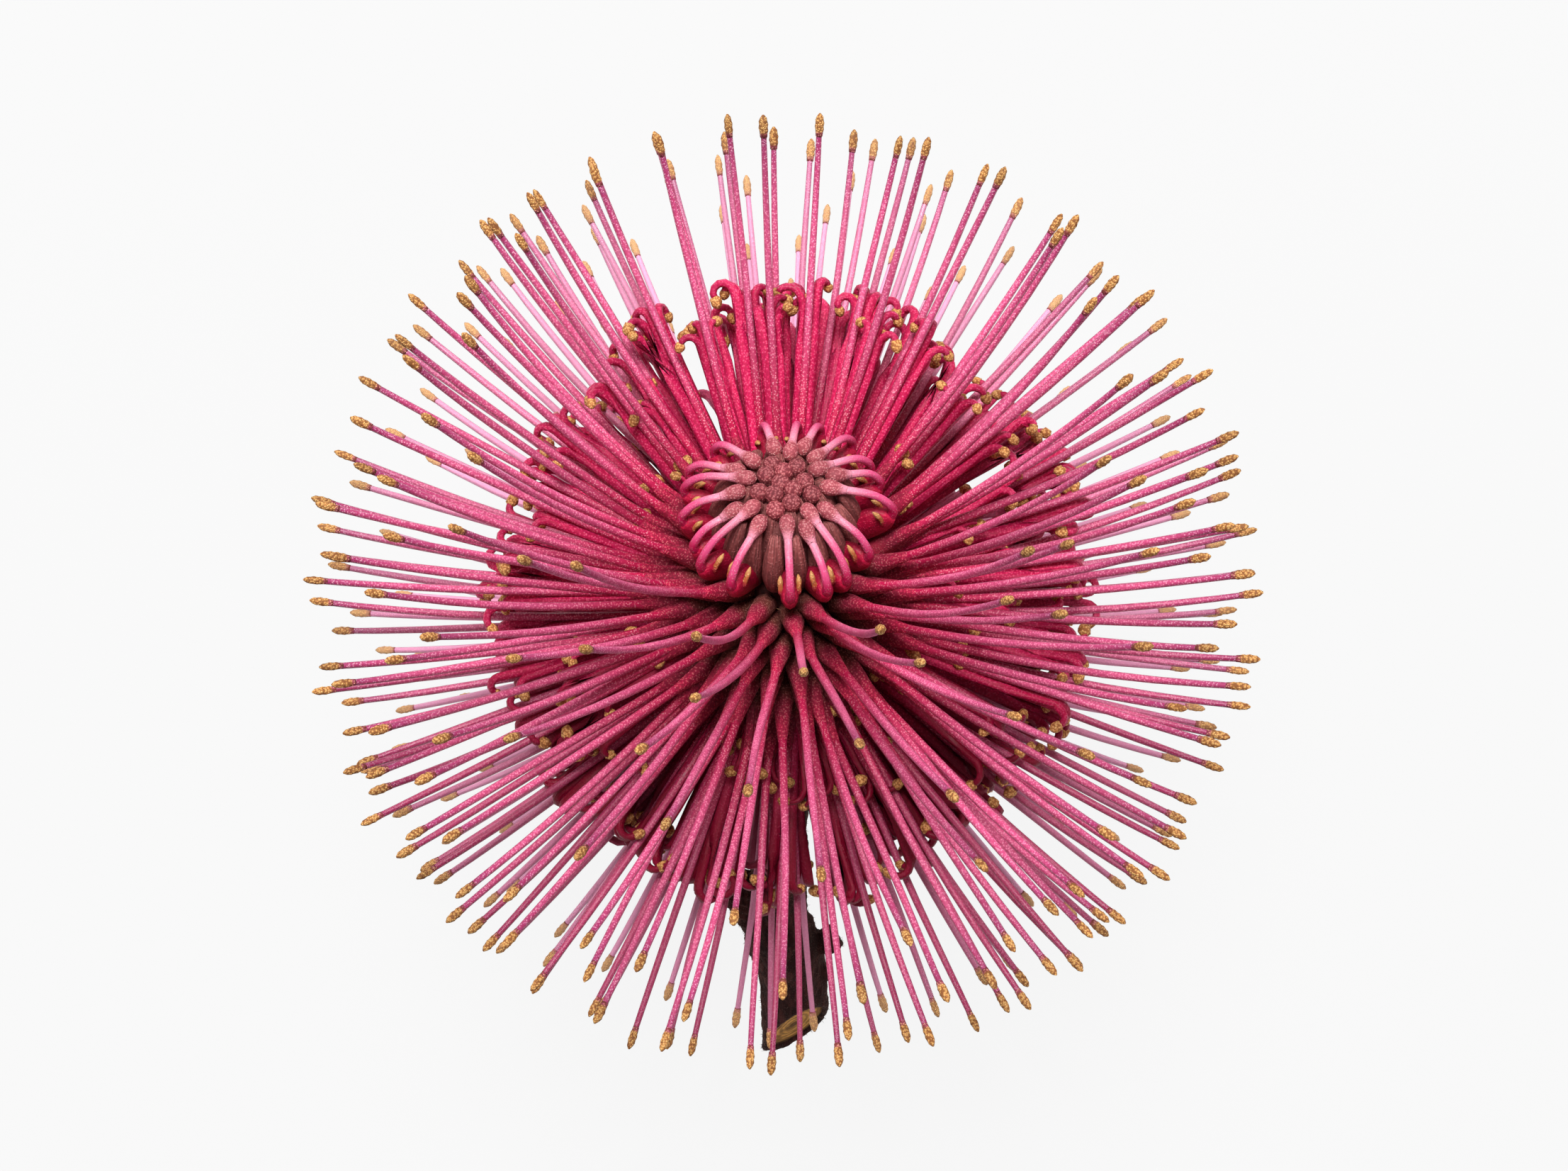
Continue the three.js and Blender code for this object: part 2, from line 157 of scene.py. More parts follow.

# What becomes of a perianth as its floret faces the sky: shorter, straighter, closer, slimmer, and darker
# with painted shade
FACING_SHORTENS = (0.25, 0.5)
SHORTEST = 0.3
HIDDEN_CURL = (0.8, 0.2)
HIDDEN_HUG = 0.35
HIDDEN_TAPER = 0.35
HIDDEN_SHADE = 0.4
HIDDEN_ANTHERS = 0.5

# The anthers, one at the end of each lobe
ANTHER_LENGTH = 1.6
ANTHER_WIDTH = 1.35
ANTHER_SIDES = 6
ANTHER_RADII = [0.25, 0.85, 1, 0.98, 0.8, 0.25]
ANTHER_SIZES = (0.85, 1.12)
ANTHER_BACK = 0.25
ANTHER_LUMPS = 0.12
ANTHER_LUMP_WAVES = (2.6, 3)

# The closed buds on their dome, and the flanks below them in rows of (florets, turn, outline points)
DOME_CENTRE = 7.9
DOME_RADIUS = 13
BUDS = 12
HOOPS = 18
BUD_CELLS = 306
FIRST_CELL = 0.2
BUD_SIDES = 14
BUD_RINGS = 15
BUD_SUNK = 3.1
BUD_RISE = 1.0
BUD_RISE_SPREAD = 0.4
BUD_PROFILE = [(0, 0.5), (0.3, 0.85), (0.6, 1.04), (0.78, 1.1), (0.88, 1.02), (0.95, 0.74), (1, 0.12)]
FLANK_SIDES = 10
FLANK_RINGS = 11
FLANK_PROFILE = [(0, 0.5), (0.15, 1.0), (0.45, 1.3), (0.75, 1.12), (1, 0.6)]
FLANK_ROWS = (
    (range(BUDS), 9, ((4.2, 10), (5.8, 15.5), (3.8, 20.7))),
    (range(BUDS, BUDS + HOOPS), 0, ((6.3, 10), (8.7, 14.6), (6.1, 19.5))),
)
DOME_CORE = [(10, 6), (12.5, 6.5), (16, 6.4), (19.2, 5.2), (20.7, 0.5)]
DOME_CORE_SIDES = 16

# The bowed styles round the buds: each from its held tip, over two shoulders and a turn, and tucked under
KNOB_OUT = 2.4
KNOB_SPREAD = 5.7
KNOB_LIFT = (0.45, 1)
KNOB_SHARE = 0.185
KNOB_PROFILE = [
    (0, 0.12), (0.06, 0.5), (0.18, 0.8), (0.34, 0.92), (0.5, 0.9), (0.7, 0.74), (0.86, 0.55), (1, 0.47),
]
HOOP_REACH = (10.9, 12.2)
HOOP_LEVEL = 16.3
HOOP_SHOULDERS = ((0.6, 0.2), (0.93, 0.6))
HOOP_TUCK = (1.9, 2.2)
HOOP_END = (6, 5.4)
HOOP_TURN_POINT = 4
HOOP_FROM = 0.85
HOOP_SIDES = 10
HOOP_RINGS = 23
HOOP_PROFILE = [(0, 0.46), (0.3, 0.44), (0.5, 0.52), (0.62, 0.64), (0.85, 0.64), (1, 0.56)]

# The split sheath on each bowed style, and the two lobes that stand up from it
SHEATH_FROM = 0.68
SHEATH_RISE = 0.7
SHEATH_SIDES = 12
SHEATH_WIDTHS = [0.72, 0.86, 0.98, 1.05, 1.1, 1.1, 1.1, 1.05, 1.0]
SHEATH_DEPTHS = [0.74, 1.15, 1.6, 1.9, 2.05, 2.1, 2.0, 1.8, 1.6]
TAG_IN = 1.1
TAG_ASIDE = 0.75
TAG_BELOW = 0.8
TAG_LENGTH = (1.9, 2.7)
TAG_LEAN = (-0.75, -0.4)
TAG_SPLAY = 0.12
TAG_BOW = (0.6, 0.3)
TAG_SIDES = 8
TAG_WIDTHS = [0.44, 0.44, 0.42, 0.36, 0.3, 0.28, 0.3, 0.32, 0.29, 0.2, 0.05]
TAG_DEPTHS = [0.28, 0.28, 0.26, 0.24, 0.24, 0.27, 0.3, 0.31, 0.28, 0.2, 0.04]

# The tan hairs between the florets and the buds
CHAFF = 130
CHAFF_LEVEL = (7.0, 10.5)
CHAFF_REACH = (7.2, 9.4)
CHAFF_POLAR = (20, 85)
CHAFF_TURN = (-50, 50)
CHAFF_WIDTH = (0.05, 0.11)
CHAFF_LENGTH = (1.0, 2.6)

# The stalk, the twig and its shoots, in the flower's frame
PLAN_SHIFT = Vector((-0.14, -0.71, 0))
KNEE = Vector((0.9, 41, 12.3))
STALK_FROM = 11.0
STALK_PULLS = (14, Vector((-0.4, -13, 8)))
STALK_SIDES = 16
STALK_RADII = [3.5, 3.3, 3.2, 3.3, 3.5, 3.7]
OLD_TIP = Vector((6.4, 35.2, 15.2))
OLD_WOOD_SHARE = 0.42
TWIG_CUT = Vector((-1.2, 55.3, 5.8))
TWIG_CUT_NORMAL = Vector((-0.4, 0.82, 0.4))
TWIG_SLOPE = 22
TWIG_BEFORE_CUT = 7
TWIG_PAST_CUT = 9
TWIG_SIDES = 20
TWIG_RADII = [2.7, 3, 3.9, 4.7, 4.5, 4.4, 4.35]
STEM_RINGS = 25

# The shoots, as (sides, foot, lean, length, radii): a square pruned one, a spur and the pruned leader's end
SHOOTS = [
    (4, Vector((-2.9, 44.2, 11.6)), Vector((-0.84, -0.5, 0.12)), 4.6, [1.1, 1.2, 1.45, 2.2, 2.25, 2.15]),
    (9, Vector((-2.4, 46.8, 10)), Vector((-0.93, 0.12, 0.1)), 3.9, [1.9, 1.8, 1.65, 1.4, 1.05, 0.6]),
    (9, OLD_TIP - Vector((0, 0.6, 0)), Vector((0.5, -0.75, 0.25)), 1.6, [2.5, 2.4, 2.2, 2.0, 1.7, 1.2]),
]
SQUARE = 4

# The bark's relief, the cut end's steps as (shrink, rise), and the hairs
BARK_VOXEL = 0.34
FURROW_SCALES = (1.3, 0.28, 0.1)
FURROW_NOISE = (0.6, 2.2, 4)
FURROW_HEIGHT = 0.2
LUMP_SCALE = 0.33
LUMP_HEIGHT = 0.3
SCAR_REACH = (6.5, 4.5)
SCAR_WAVES = (6.5, 2, 2)
SCAR_HEIGHT = 0.28
CUT_STEPS = ((0.96, 0.05), (0.93, -0.22), (0.97, -0.28))
STEM_HAIRS = 3000
HAIR_LOWEST = 0.7
HAIR_SCATTER = 1.3
HAIR_SUNK = 0.05
HAIR_WIDTH = 0.035
HAIR_LENGTHS = (0.6, 1.3)

# The bracts under the head, in two rows, with reach and level from the head's centre
BRACT_ROWS = 2
BRACTS_IN_ROW = 11
BRACT_ROW_TURN = 16
BRACT_ROW_DROP = 1.2
BRACT_ROW_REACH = 0.45
BRACT_LEVELS = (-15.2, -11.2)
BRACT_LEVEL_SPREAD = 0.8
BRACT_BENDS_AT = 0.4
BRACT_REACHES = (3.2, 5.6)
BRACT_THICKNESS = 0.3
BRACT_CHANNEL = 0.6
BRACT_COLUMNS = 4
BRACT_RINGS = 9
BRACT_PROFILE = [(0, 1.0), (0.4, 1.5), (0.7, 1.3), (0.9, 0.6), (1, 0.12)]

# From the frames that the pieces are worked out in to the flower's own, and two directions in the head's
HEAD_TURN = Matrix.Rotation(math.radians(HEAD_LEAN), 3, "X")
HEAD_PLACE = Matrix.Translation(HEAD_CENTRE) @ HEAD_TURN.to_4x4()
HEAD = Matrix.Scale(MM, 4) @ HEAD_PLACE
STEM = Matrix.Scale(MM, 4) @ Matrix.Translation(PLAN_SHIFT)
SKYWARD = HEAD_TURN.transposed() @ UP
STEMWARD = HEAD_TURN.transposed() @ Vector((0, 1, 0))


# Numbers and lines


def lerp(low, high, share):
    return low + (high - low) * share


def draw(index, salt):
    """A draw between 0 and 1 that depends only on its two numbers."""
    wave = math.sin(index * 12.9898 + salt * 78.233) * 43758.5453
    return wave - math.floor(wave)


def draw_between(span, index, salt):
    return lerp(span[0], span[1], draw(index, salt))


def smooth_share(value, low, high):
    """0 at `low` and 1 at `high`, easing in and out. Either may be the larger."""
    share = min(max((value - low) / (high - low), 0), 1)
    return share * share * (3 - 2 * share)


def piecewise(table, at):
    """The value at `at` in a table of (place, value) pairs in rising order."""
    for (low, first), (high, second) in zip(table, table[1:]):
        if at <= high:
            return lerp(first, second, (at - low) / (high - low))
    return table[-1][1]


def direction(polar, around):
    """A unit vector in the head's frame, from its angles in degrees."""
    p, a = math.radians(polar), math.radians(around)
    return Vector((math.sin(p) * math.cos(a), math.sin(p) * math.sin(a), math.cos(p)))


def quadratic(points, t):
    a, b, c = points
    return a * (1 - t) ** 2 + b * (2 * t * (1 - t)) + c * t * t


def cubic(points, t):
    a, b, c, d = points
    return a * (1 - t) ** 3 + b * (3 * t * (1 - t) ** 2) + c * (3 * t * t * (1 - t)) + d * t**3


def through(points, t):
    """A smooth line through every one of the points, at share t."""
    last = len(points) - 1
    k = min(int(t * last), last - 1)
    u = t * last - k
    a, b, c, d = (
        points[k - 1] if k else 2 * points[0] - points[1],
        points[k],
        points[k + 1],
        points[k + 2] if k + 2 <= last else 2 * points[last] - points[last - 1],
    )
    return 0.5 * (2 * b + (c - a) * u + (2 * a - 5 * b + 4 * c - d) * u * u + (3 * b - a - 3 * c + d) * u**3)


def stations(points, acrosses):
    """The place, the sideways and the depthways unit vectors at each point along a line."""
    found = []
    last = len(points) - 1
    for k, point in enumerate(points):
        tangent = (points[min(k + 1, last)] - points[max(k - 1, 0)]).normalized()
        across = acrosses[k] if isinstance(acrosses, list) else acrosses
        side = (across - tangent * tangent.dot(across)).normalized()
        found.append((point, side, tangent.cross(side)))
    return found


def shares(count):
    """That many shares, evenly spaced from 0 to 1."""
    return [k / (count - 1) for k in range(count)]


def swollen(rings, profile):
    """Radii at evenly spaced rings from a table of (share, radius)."""
    return [piecewise(profile, share) for share in shares(rings)]


def spread(values, rings):
    """Radii at evenly spaced rings from fewer of them, evenly spaced too."""
    return swollen(rings, list(zip(shares(len(values)), values)))


def arched(points, rings, across):
    """Stations along the curve that starts at, leans towards and ends at three points."""
    return stations([quadratic(points, share) for share in shares(rings)], across)


def level_pair(around):
    """The level unit vectors out from the head's axis and round it, at an angle in degrees."""
    return direction(90, around), direction(90, around + 90)


# Template bodies, up the Z axis with one ring of corners at each whole number


def rod(sides, rings):
    """A closed round body of unit radius."""
    bm = bmesh.new()
    up = Matrix.Translation((0, 0, 0.5))
    bmesh.ops.create_cone(bm, cap_ends=True, segments=sides, radius1=1, radius2=1, depth=1, matrix=up)
    walls = [edge for edge in bm.edges if abs(edge.verts[0].co.z - edge.verts[1].co.z) > 0.5]
    bmesh.ops.subdivide_edges(bm, edges=walls, cuts=rings - 2)
    bmesh.ops.scale(bm, vec=(1, 1, rings - 1), verts=bm.verts)
    return as_template(bm)


def blade(columns, rings, channel):
    """A closed flat body of unit half width and unit half thickness, thin at its edges and channelled."""
    bm = bmesh.new()
    bmesh.ops.create_grid(bm, x_segments=columns, y_segments=rings - 1, size=1)
    bmesh.ops.rotate(bm, verts=bm.verts, matrix=Matrix.Rotation(math.pi / 2, 3, "X"))
    bmesh.ops.solidify(bm, geom=bm.faces[:], thickness=2)
    middle = sum(vert.co.y for vert in bm.verts) / len(bm.verts)
    for vert in bm.verts:
        edge = vert.co.x * vert.co.x
        vert.co.y = (vert.co.y - middle) * (1 - 0.6 * edge) + channel * edge
        vert.co.z = round((vert.co.z + 1) / 2 * (rings - 1))
    bmesh.ops.recalc_face_normals(bm, faces=bm.faces[:])
    return as_template(bm)


def spike():
    bm = bmesh.new()
    up = Matrix.Translation((0, 0, 0.5))
    bmesh.ops.create_cone(bm, cap_ends=True, segments=3, radius1=1, radius2=0, depth=1, matrix=up)
    return as_template(bm)


def as_template(bm):
    mesh = bpy.data.meshes.new("template")
    bm.to_mesh(mesh)
    corners = [vert.co.copy() for vert in bm.verts]
    bm.free()
    return {"mesh": mesh, "corners": corners}


# Pieces


def new_piece():
    bm = bmesh.new()
    for name in ("along", "across", "pick", "pale", "deep"):
        bm.verts.layers.float.new(name)
    return bm


def copy_in(bm, template):
    """Adds a template to a piece and returns its new corners, each with its place in the template."""
    start = len(bm.verts)
    bm.from_mesh(template["mesh"])
    bm.verts.ensure_lookup_table()
    return zip(bm.verts[start:], template["corners"])


def mark(bm, vert, **marks):
    for name, value in marks.items():
        vert[bm.verts.layers.float[name]] = value


def around_share(corner):
    """Where a corner stands around its template: 0 on one edge, 1 on the opposite one."""
    return abs(math.atan2(corner.y, corner.x)) / math.pi


def grow(bm, template, line, widths, depths=None, pick=0, pale=0, deep=0, relief=None):
    """Bends a template along a line of stations, with its half width and half depth at each."""
    depths = depths or widths
    last = len(line) - 1
    for vert, corner in copy_in(bm, template):
        ring = round(corner.z)
        point, side, depth = line[ring]
        swell = relief(corner, ring) if relief else 1
        aside = side * (corner.x * widths[ring] * swell)
        vert.co = point + aside + depth * (corner.y * depths[ring] * swell)
        mark(bm, vert, along=ring / last, across=around_share(corner), pick=pick, pale=pale, deep=deep)


def place(bm, template, matrix, pick=0):
    """Adds a template as it is, moved by a matrix."""
    for vert, corner in copy_in(bm, template):
        vert.co = matrix @ corner
        mark(bm, vert, along=corner.z, across=around_share(corner), pick=pick)


def turned_to(axis, at, scale):
    """The matrix that lays a template's Z along an axis at a place."""
    turn = Vector(axis).to_track_quat("Z", "Y").to_matrix().to_4x4()
    return Matrix.Translation(at) @ turn @ Matrix.Diagonal((*scale, 1))


def finish_piece(name, bm, materials, matrix=HEAD, nodes=()):
    """Makes a piece an object in the flower's frame, in metres, and lets it ride."""
    bmesh.ops.transform(bm, matrix=matrix, verts=bm.verts)
    for vert in bm.verts:
        vert.co.z = max(vert.co.z, 0)
    for face in bm.faces:
        face.smooth = True
    mesh = bpy.data.meshes.new(name)
    bm.to_mesh(mesh)
    bm.free()
    for material in materials:
        mesh.materials.append(material)
    piece = bpy.data.objects.new(name, mesh)
    bpy.context.scene.collection.objects.link(piece)
    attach(piece, "root")
    if nodes:
        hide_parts(*nodes)
    return piece


# The open florets


def settled_tip(root, tip):
    """Where a tip ends that would come below the surface, or close to it."""
    low = HEAD_PLACE @ tip
    if low.z > TIP_SETTLES:
        return tip
    start = HEAD_PLACE @ root
    reach = math.sqrt(max((start - low).length_squared - (start.z - TIP_REST) ** 2, 0))
    outward = Vector((low.x - start.x, low.y - start.y)).normalized() * reach
    return HEAD_PLACE.inverted() @ Vector((start.x + outward.x, start.y + outward.y, TIP_REST))


def floret(i, share, azimuth, crowding=CROWDING):
    """The line of one floret's style, as the solids have it, and what the way that it faces does to it."""
    level = lerp(math.cos(math.radians(FIRST_POLAR)), math.cos(math.radians(LAST_POLAR)), share**crowding)
    polar = math.degrees(math.acos(level)) + lerp(-POLAR_JITTER, POLAR_JITTER, draw(i, 1))
    around = azimuth + lerp(-AROUND_JITTER, AROUND_JITTER, draw(i, 2))
    root_level = lerp(ROOT_FIRST, ROOT_LAST, share)
    root = direction(90, azimuth) * (piecewise(CORE, root_level) - ROOT_SUNK)
    root.z = root_level
    radius = TIP_RADIUS - TIP_RADIUS_SPREAD * draw(i, 3) ** 2
    tip = settled_tip(root, direction(polar, around) * radius)
    along = (tip - root).normalized()
    across = UP.cross(along).normalized()
    outward = across.cross(along)
    middle = root.lerp(tip, 0.5) + outward * lerp(*STYLE_BOWS, min(share / BOW_SETTLES, 1))
    middle += across * lerp(-BOW_JITTER, BOW_JITTER, draw(i, 4))
    sway = across * STYLE_SWAY * (draw(i, 9) - 0.5) * 2

    def at(t):
        return quadratic((root, middle, tip), t) + sway * math.sin(2 * math.pi * t) * (1 - t)

    facing, stemward = along.dot(SKYWARD), along.dot(STEMWARD)
    # Painted shade, carried by the deep mark: on florets that face the sky and lie under the others, and on
    # the stem's side of the head, away from the lamp over it
    skyward_shade = SKYWARD_SHADE * smooth_share(facing, *UPPER_FACING)
    return {
        "index": i, "at": at, "tip": tip, "across": across, "outward": outward,
        "facing": facing, "stemward": stemward, "leftward": along.x,
        "sideways": 1 - facing**2 - stemward**2,
        "hidden": smooth_share(facing, *FACING_SHORTENS),
        "pale": smooth_share(facing, *PALE_FACING),
        "deep": max(skyward_shade, smooth_share(stemward, *STEM_SIDE_SHADE)),
        "brown": smooth_share(math.sin(math.radians(azimuth)), *BROWN_COLLARS),
        "bare": facing < BARE_FACING and i % 2 == 1 or i >= FLORETS and stemward < BARE_EXTRAS,
    }


def room(line, others):
    """How far a floret's tip is from the nearest other one, weighed by the side that it is on."""
    if not EXTRA_FACING[0] < line["facing"] < EXTRA_FACING[1]:
        return 0
    nearest = min((line["tip"] - other["tip"]).length for other in others)
    below, aside = line["stemward"], abs(line["leftward"])
    return nearest * (1 - STEM_SIDE_ROOM * below + CORNER_ROOM * below * aside)


@functools.cache
def all_florets():
    """The florets of the solids, and further ones, each in the roomiest of a few places drawn for it."""
    found = [floret(i, (i + 0.5) / FLORETS, i * GOLDEN_ANGLE) for i in range(FLORETS)]
    for i in range(FLORETS, FLORETS + EXTRAS):
        keys = range(i * EXTRA_TRIES, (i + 1) * EXTRA_TRIES)
        drawn = [floret(i, draw_between(EXTRA_SHARES, key, 50), 360 * draw(key, 51), 1) for key in keys]
        found.append(max(drawn, key=lambda line: room(line, found)))
    return found


def profile_line(line, profile):
    """Stations along a floret's style at the shares of a profile."""
    return stations([line["at"](share) for share, _ in profile], line["across"])


def make_styles(material):
    bm = new_piece()
    template = rod(STYLE_SIDES, len(STYLE_PROFILE))
    width = bpy.context.scene.protea.style_width / (2 * STYLE_PROFILE[1][1]) / MM
    radii = [radius * width for _, radius in STYLE_PROFILE]
    for line in all_florets():
        # A style takes its floret's painted shade, less of it where the floret faces the sky
        grow(
            bm, template, profile_line(line, STYLE_PROFILE), radii, pick=draw(line["index"], 6),
            pale=line["pale"], deep=line["deep"] * (1 - line["hidden"]),
        )
    finish_piece("styles", bm, [material], nodes=["open_florets"])


def make_tips(material):
    bm = new_piece()
    template = rod(TIP_SIDES, len(TIP_PROFILE))
    width = bpy.context.scene.protea.tip_width / (2 * max(radius for _, radius in TIP_PROFILE)) / MM

    def pitted(corner, ring):
        if ring not in TIP_PITTED_RINGS:
            return 1
        column = round(math.atan2(corner.y, corner.x) / math.tau * TIP_SIDES)
        return 1 + TIP_PITS * (1 if (ring + column) % 2 else -1)

    for line in all_florets():
        plump = width * draw_between(TIP_PLUMPNESS, line["index"], 10)
        grow(
            bm, template, profile_line(line, TIP_PROFILE), [radius * plump for _, radius in TIP_PROFILE],
            pick=draw(line["index"], 11), pale=line["pale"], relief=pitted,
        )
    finish_piece("pollen_tips", bm, [material])


def make_collars(material):
    bm = new_piece()
    template = rod(COLLAR_SIDES, len(COLLAR_PROFILE))
    radii = [radius for _, radius in COLLAR_PROFILE]
    for line in all_florets():
        stretch = lerp(1, COLLAR_STRETCH, line["hidden"])
        profile = [(share * stretch, radius) for share, radius in COLLAR_PROFILE]
        path = profile_line(line, profile)
        grow(bm, template, path, radii, pick=draw(line["index"], 12), deep=1 - line["brown"])
    finish_piece("floret_collars", bm, [material])


def band(line, side, start, roll, fan):
    """Points along a lobe up to its curl, first joined to its neighbours, and the way across at each."""
    points, acrosses = [], []
    for share in shares(LOBE_STRAIGHT + 1):
        opened = max(0, (share - SPLIT_SHARE) / (1 - SPLIT_SHARE)) ** SPLIT_EASE
        offset = lerp(*LOBE_OFFSETS, share) + opened * SPLIT_OFFSET
        widened = min(1, BAND_WIDENS[0] + share * BAND_WIDENS[1])
        sideways = side * LOBE_SPACING * widened + fan * opened
        bowed = offset - BAND_ROUNDNESS * side * side * (1 - opened)
        aside = line["outward"] * bowed + line["across"] * sideways
        points.append(line["at"](start * share) + aside * lerp(1, HIDDEN_HUG, line["hidden"]))
        twist = roll * opened - BAND_TWIST * side * (1 - opened)
        acrosses.append(line["across"] * math.cos(twist) - line["outward"] * math.sin(twist))
    return points, acrosses


def curl(points, away, radius, turn):
    """Adds the points of a tightening arc to the end of a line, and returns the way across it."""
    bend = (points[-1] - points[-2]).normalized()
    away = (away - bend * bend.dot(away)).normalized()
    step = turn / LOBE_CURL
    angle = 0
    for k in range(LOBE_CURL):
        arc = radius * (1 - CURL_TIGHTENING * k / LOBE_CURL) * step
        heading = angle + step / 2
        points.append(points[-1] + bend * (math.cos(heading) * arc) + away * (math.sin(heading) * arc))
        angle += step
    return bend.cross(away)


def lobe_line(line, j):
    """Stations along one lobe of a floret's perianth, from its foot to the end of its curl."""
    i = line["index"]
    key = i * LOBES + j
    side = math.copysign(FREE_LOBE_ASIDE, draw(i, 13) - 0.5) if j == LOBES - 1 else j - 1
    hidden = line["hidden"]
    start = (draw_between(CURL_START, i, 5) - CURL_START_SPREAD * draw(key, 14)) * lerp(1, SHORTEST, hidden)
    start *= lerp(1, SIDE_REACH, line["sideways"])
    roll = draw_between(CURL_ROLL, i, 6) + side * LOBE_ROLL + draw_between(LOBE_ROLL_SPREAD, key, 15)
    roll = math.radians(roll)
    radius = draw_between(CURL_RADIUS, i, 7) * draw_between(LOBE_RADIUS_SHARE, key, 16)
    turn = draw_between(CURL_TURN, i, 8) * draw_between(LOBE_TURN_SHARE, key, 17)
    fan = side * draw_between(SPLIT_FAN, key, 18)
    points, acrosses = band(line, side, start, roll, fan)
    away = line["outward"] * math.cos(roll) + line["across"] * math.sin(roll)
    radius *= lerp(1, HIDDEN_CURL[0], hidden)
    flat = curl(points, away, radius, math.radians(turn * lerp(1, HIDDEN_CURL[1], hidden)))
    return stations(points, acrosses + [flat] * LOBE_CURL)


def lobes_shown(line):
    """How many lobes a floret has: none if it is bare, and no free one if it faces the sky."""
    if line["bare"]:
        return 0
    return LOBES if line["facing"] <= FACING_SHORTENS[0] else LOBES - 1


def add_anther(bm, template, lobe, key):
    """Adds the anther at the end of a lobe."""
    end, across, _ = lobe[-1]
    heading = (end - lobe[-2][0]).normalized()
    scale = draw_between(ANTHER_SIZES, key, 20)
    radii = [ANTHER_WIDTH / 2 * scale * radius for radius in ANTHER_RADII]
    reaches = [ANTHER_LENGTH * scale * (share - ANTHER_BACK) for share in shares(len(radii))]
    places = [end + heading * reach for reach in reaches]

    def lumpy(corner, ring):
        waves = ring * ANTHER_LUMP_WAVES[0] + ANTHER_LUMP_WAVES[1] * math.atan2(corner.y, corner.x)
        return 1 + ANTHER_LUMPS * math.sin(waves)

    grow(bm, template, stations(places, across), radii, pick=draw(key, 22), relief=lumpy)


def make_perianths(lobe_material, anther_material):
    lobes, anthers = new_piece(), new_piece()
    along = shares(LOBE_STRAIGHT + LOBE_CURL + 1)
    lobe_template = rod(LOBE_SIDES, len(along))
    anther_template = rod(ANTHER_SIDES, len(ANTHER_RADII))
    width = bpy.context.scene.protea.lobe_width / MM / 2
    widths = [width * piecewise(LOBE_TAPER, share) for share in along]
    depths = [LOBE_THICKNESS / 2 * lerp(1, LOBE_THINS_TO, share) for share in along]
    for line in all_florets():
        slim = lerp(1, HIDDEN_TAPER, line["hidden"])
        tapered = [lerp(1, slim, share) for share in along]
        for j in range(lobes_shown(line)):
            key = line["index"] * LOBES + j
            path = lobe_line(line, j)
            # A lobe takes its floret's painted shade, and is darker still, as painted shade, where the
            # floret faces the sky
            grow(
                lobes, lobe_template, path, [w * t for w, t in zip(widths, tapered)],
                [d * t for d, t in zip(depths, tapered)], pick=draw(key, 19) - HIDDEN_SHADE * line["hidden"],
                pale=line["pale"], deep=line["deep"],
            )
            if line["facing"] <= HIDDEN_ANTHERS:
                add_anther(anthers, anther_template, path, key)
    finish_piece("perianth_lobes", lobes, [lobe_material])
    finish_piece("anthers", anthers, [anther_material])


# The unopened middle


def dome_point(polar, around, radius):
    return direction(polar, around) * radius + UP * DOME_CENTRE


def bud_polar(k):
    return math.degrees(math.acos(1 - (k + FIRST_CELL) / BUD_CELLS))


def make_buds(material):
    bm = new_piece()
    template = rod(BUD_SIDES, BUD_RINGS)
    radii = swollen(BUD_RINGS, BUD_PROFILE)
    for k in range(BUDS):
        around = k * GOLDEN_ANGLE
        rise = BUD_RISE + BUD_RISE_SPREAD * draw(k, 23)
        inner = dome_point(bud_polar(k), around, DOME_RADIUS - BUD_SUNK)
        outer = dome_point(bud_polar(k), around, DOME_RADIUS + rise)
        path = [inner.lerp(outer, share) for share in shares(BUD_RINGS)]
        grow(bm, template, stations(path, level_pair(around)[1]), radii, pick=draw(k, 24))
    finish_piece("closed_buds", bm, [material], nodes=["bud_dome"])


def make_held_tips(material):
    bm = new_piece()
    template = rod(BUD_SIDES, BUD_RINGS)
    radii = swollen(BUD_RINGS, KNOB_PROFILE)
    for k in range(BUDS, BUDS + HOOPS):
        points = bowed_points(k)
        path = [through(points, KNOB_SHARE * share) for share in shares(BUD_RINGS)]
        aside = level_pair(k * GOLDEN_ANGLE)[1]
        grow(bm, template, stations(path, aside), radii, pick=draw(k, 24))
    finish_piece("held_tips", bm, [material])


def make_flanks(material):
    """The brown flanks of the buds and of the bowed florets, and a core that closes the dome behind them."""
    bm = new_piece()
    template = rod(FLANK_SIDES, FLANK_RINGS)
    radii = swollen(FLANK_RINGS, FLANK_PROFILE)
    for keys, turn, outline in FLANK_ROWS:
        for key in keys:
            out, aside = level_pair(key * 360 / len(keys) + turn)
            points = [out * reach + UP * level for reach, level in outline]
            grow(bm, template, arched(points, FLANK_RINGS, aside), radii, pick=draw(key, 25))
    path = [UP * level for level, _ in DOME_CORE]
    radii = [radius for _, radius in DOME_CORE]
    grow(bm, rod(DOME_CORE_SIDES, len(DOME_CORE)), stations(path, LEVEL), radii)
    finish_piece("bud_sides", bm, [material])


def bowed_points(k):
    """Points on the line of a bowed style, from its tip over its turn to where it goes under."""
    around = k * GOLDEN_ANGLE
    polar = bud_polar(k) + KNOB_OUT
    reach = draw_between(HOOP_REACH, k, 21)
    inner = dome_point(polar - KNOB_SPREAD, around, DOME_RADIUS + KNOB_LIFT[0])
    outer = dome_point(polar + KNOB_SPREAD, around, DOME_RADIUS + KNOB_LIFT[1])
    flat = math.hypot(outer.x, outer.y)
    past = [(lerp(flat, reach, out), lerp(outer.z, HOOP_LEVEL, down)) for out, down in HOOP_SHOULDERS]
    past.append((reach, HOOP_LEVEL))
    past.append((reach - HOOP_TUCK[0], HOOP_LEVEL - HOOP_TUCK[1]))
    past.append((HOOP_END[0], HOOP_LEVEL - HOOP_END[1]))
    return [inner, outer, *(direction(90, around) * distance + UP * level for distance, level in past)]


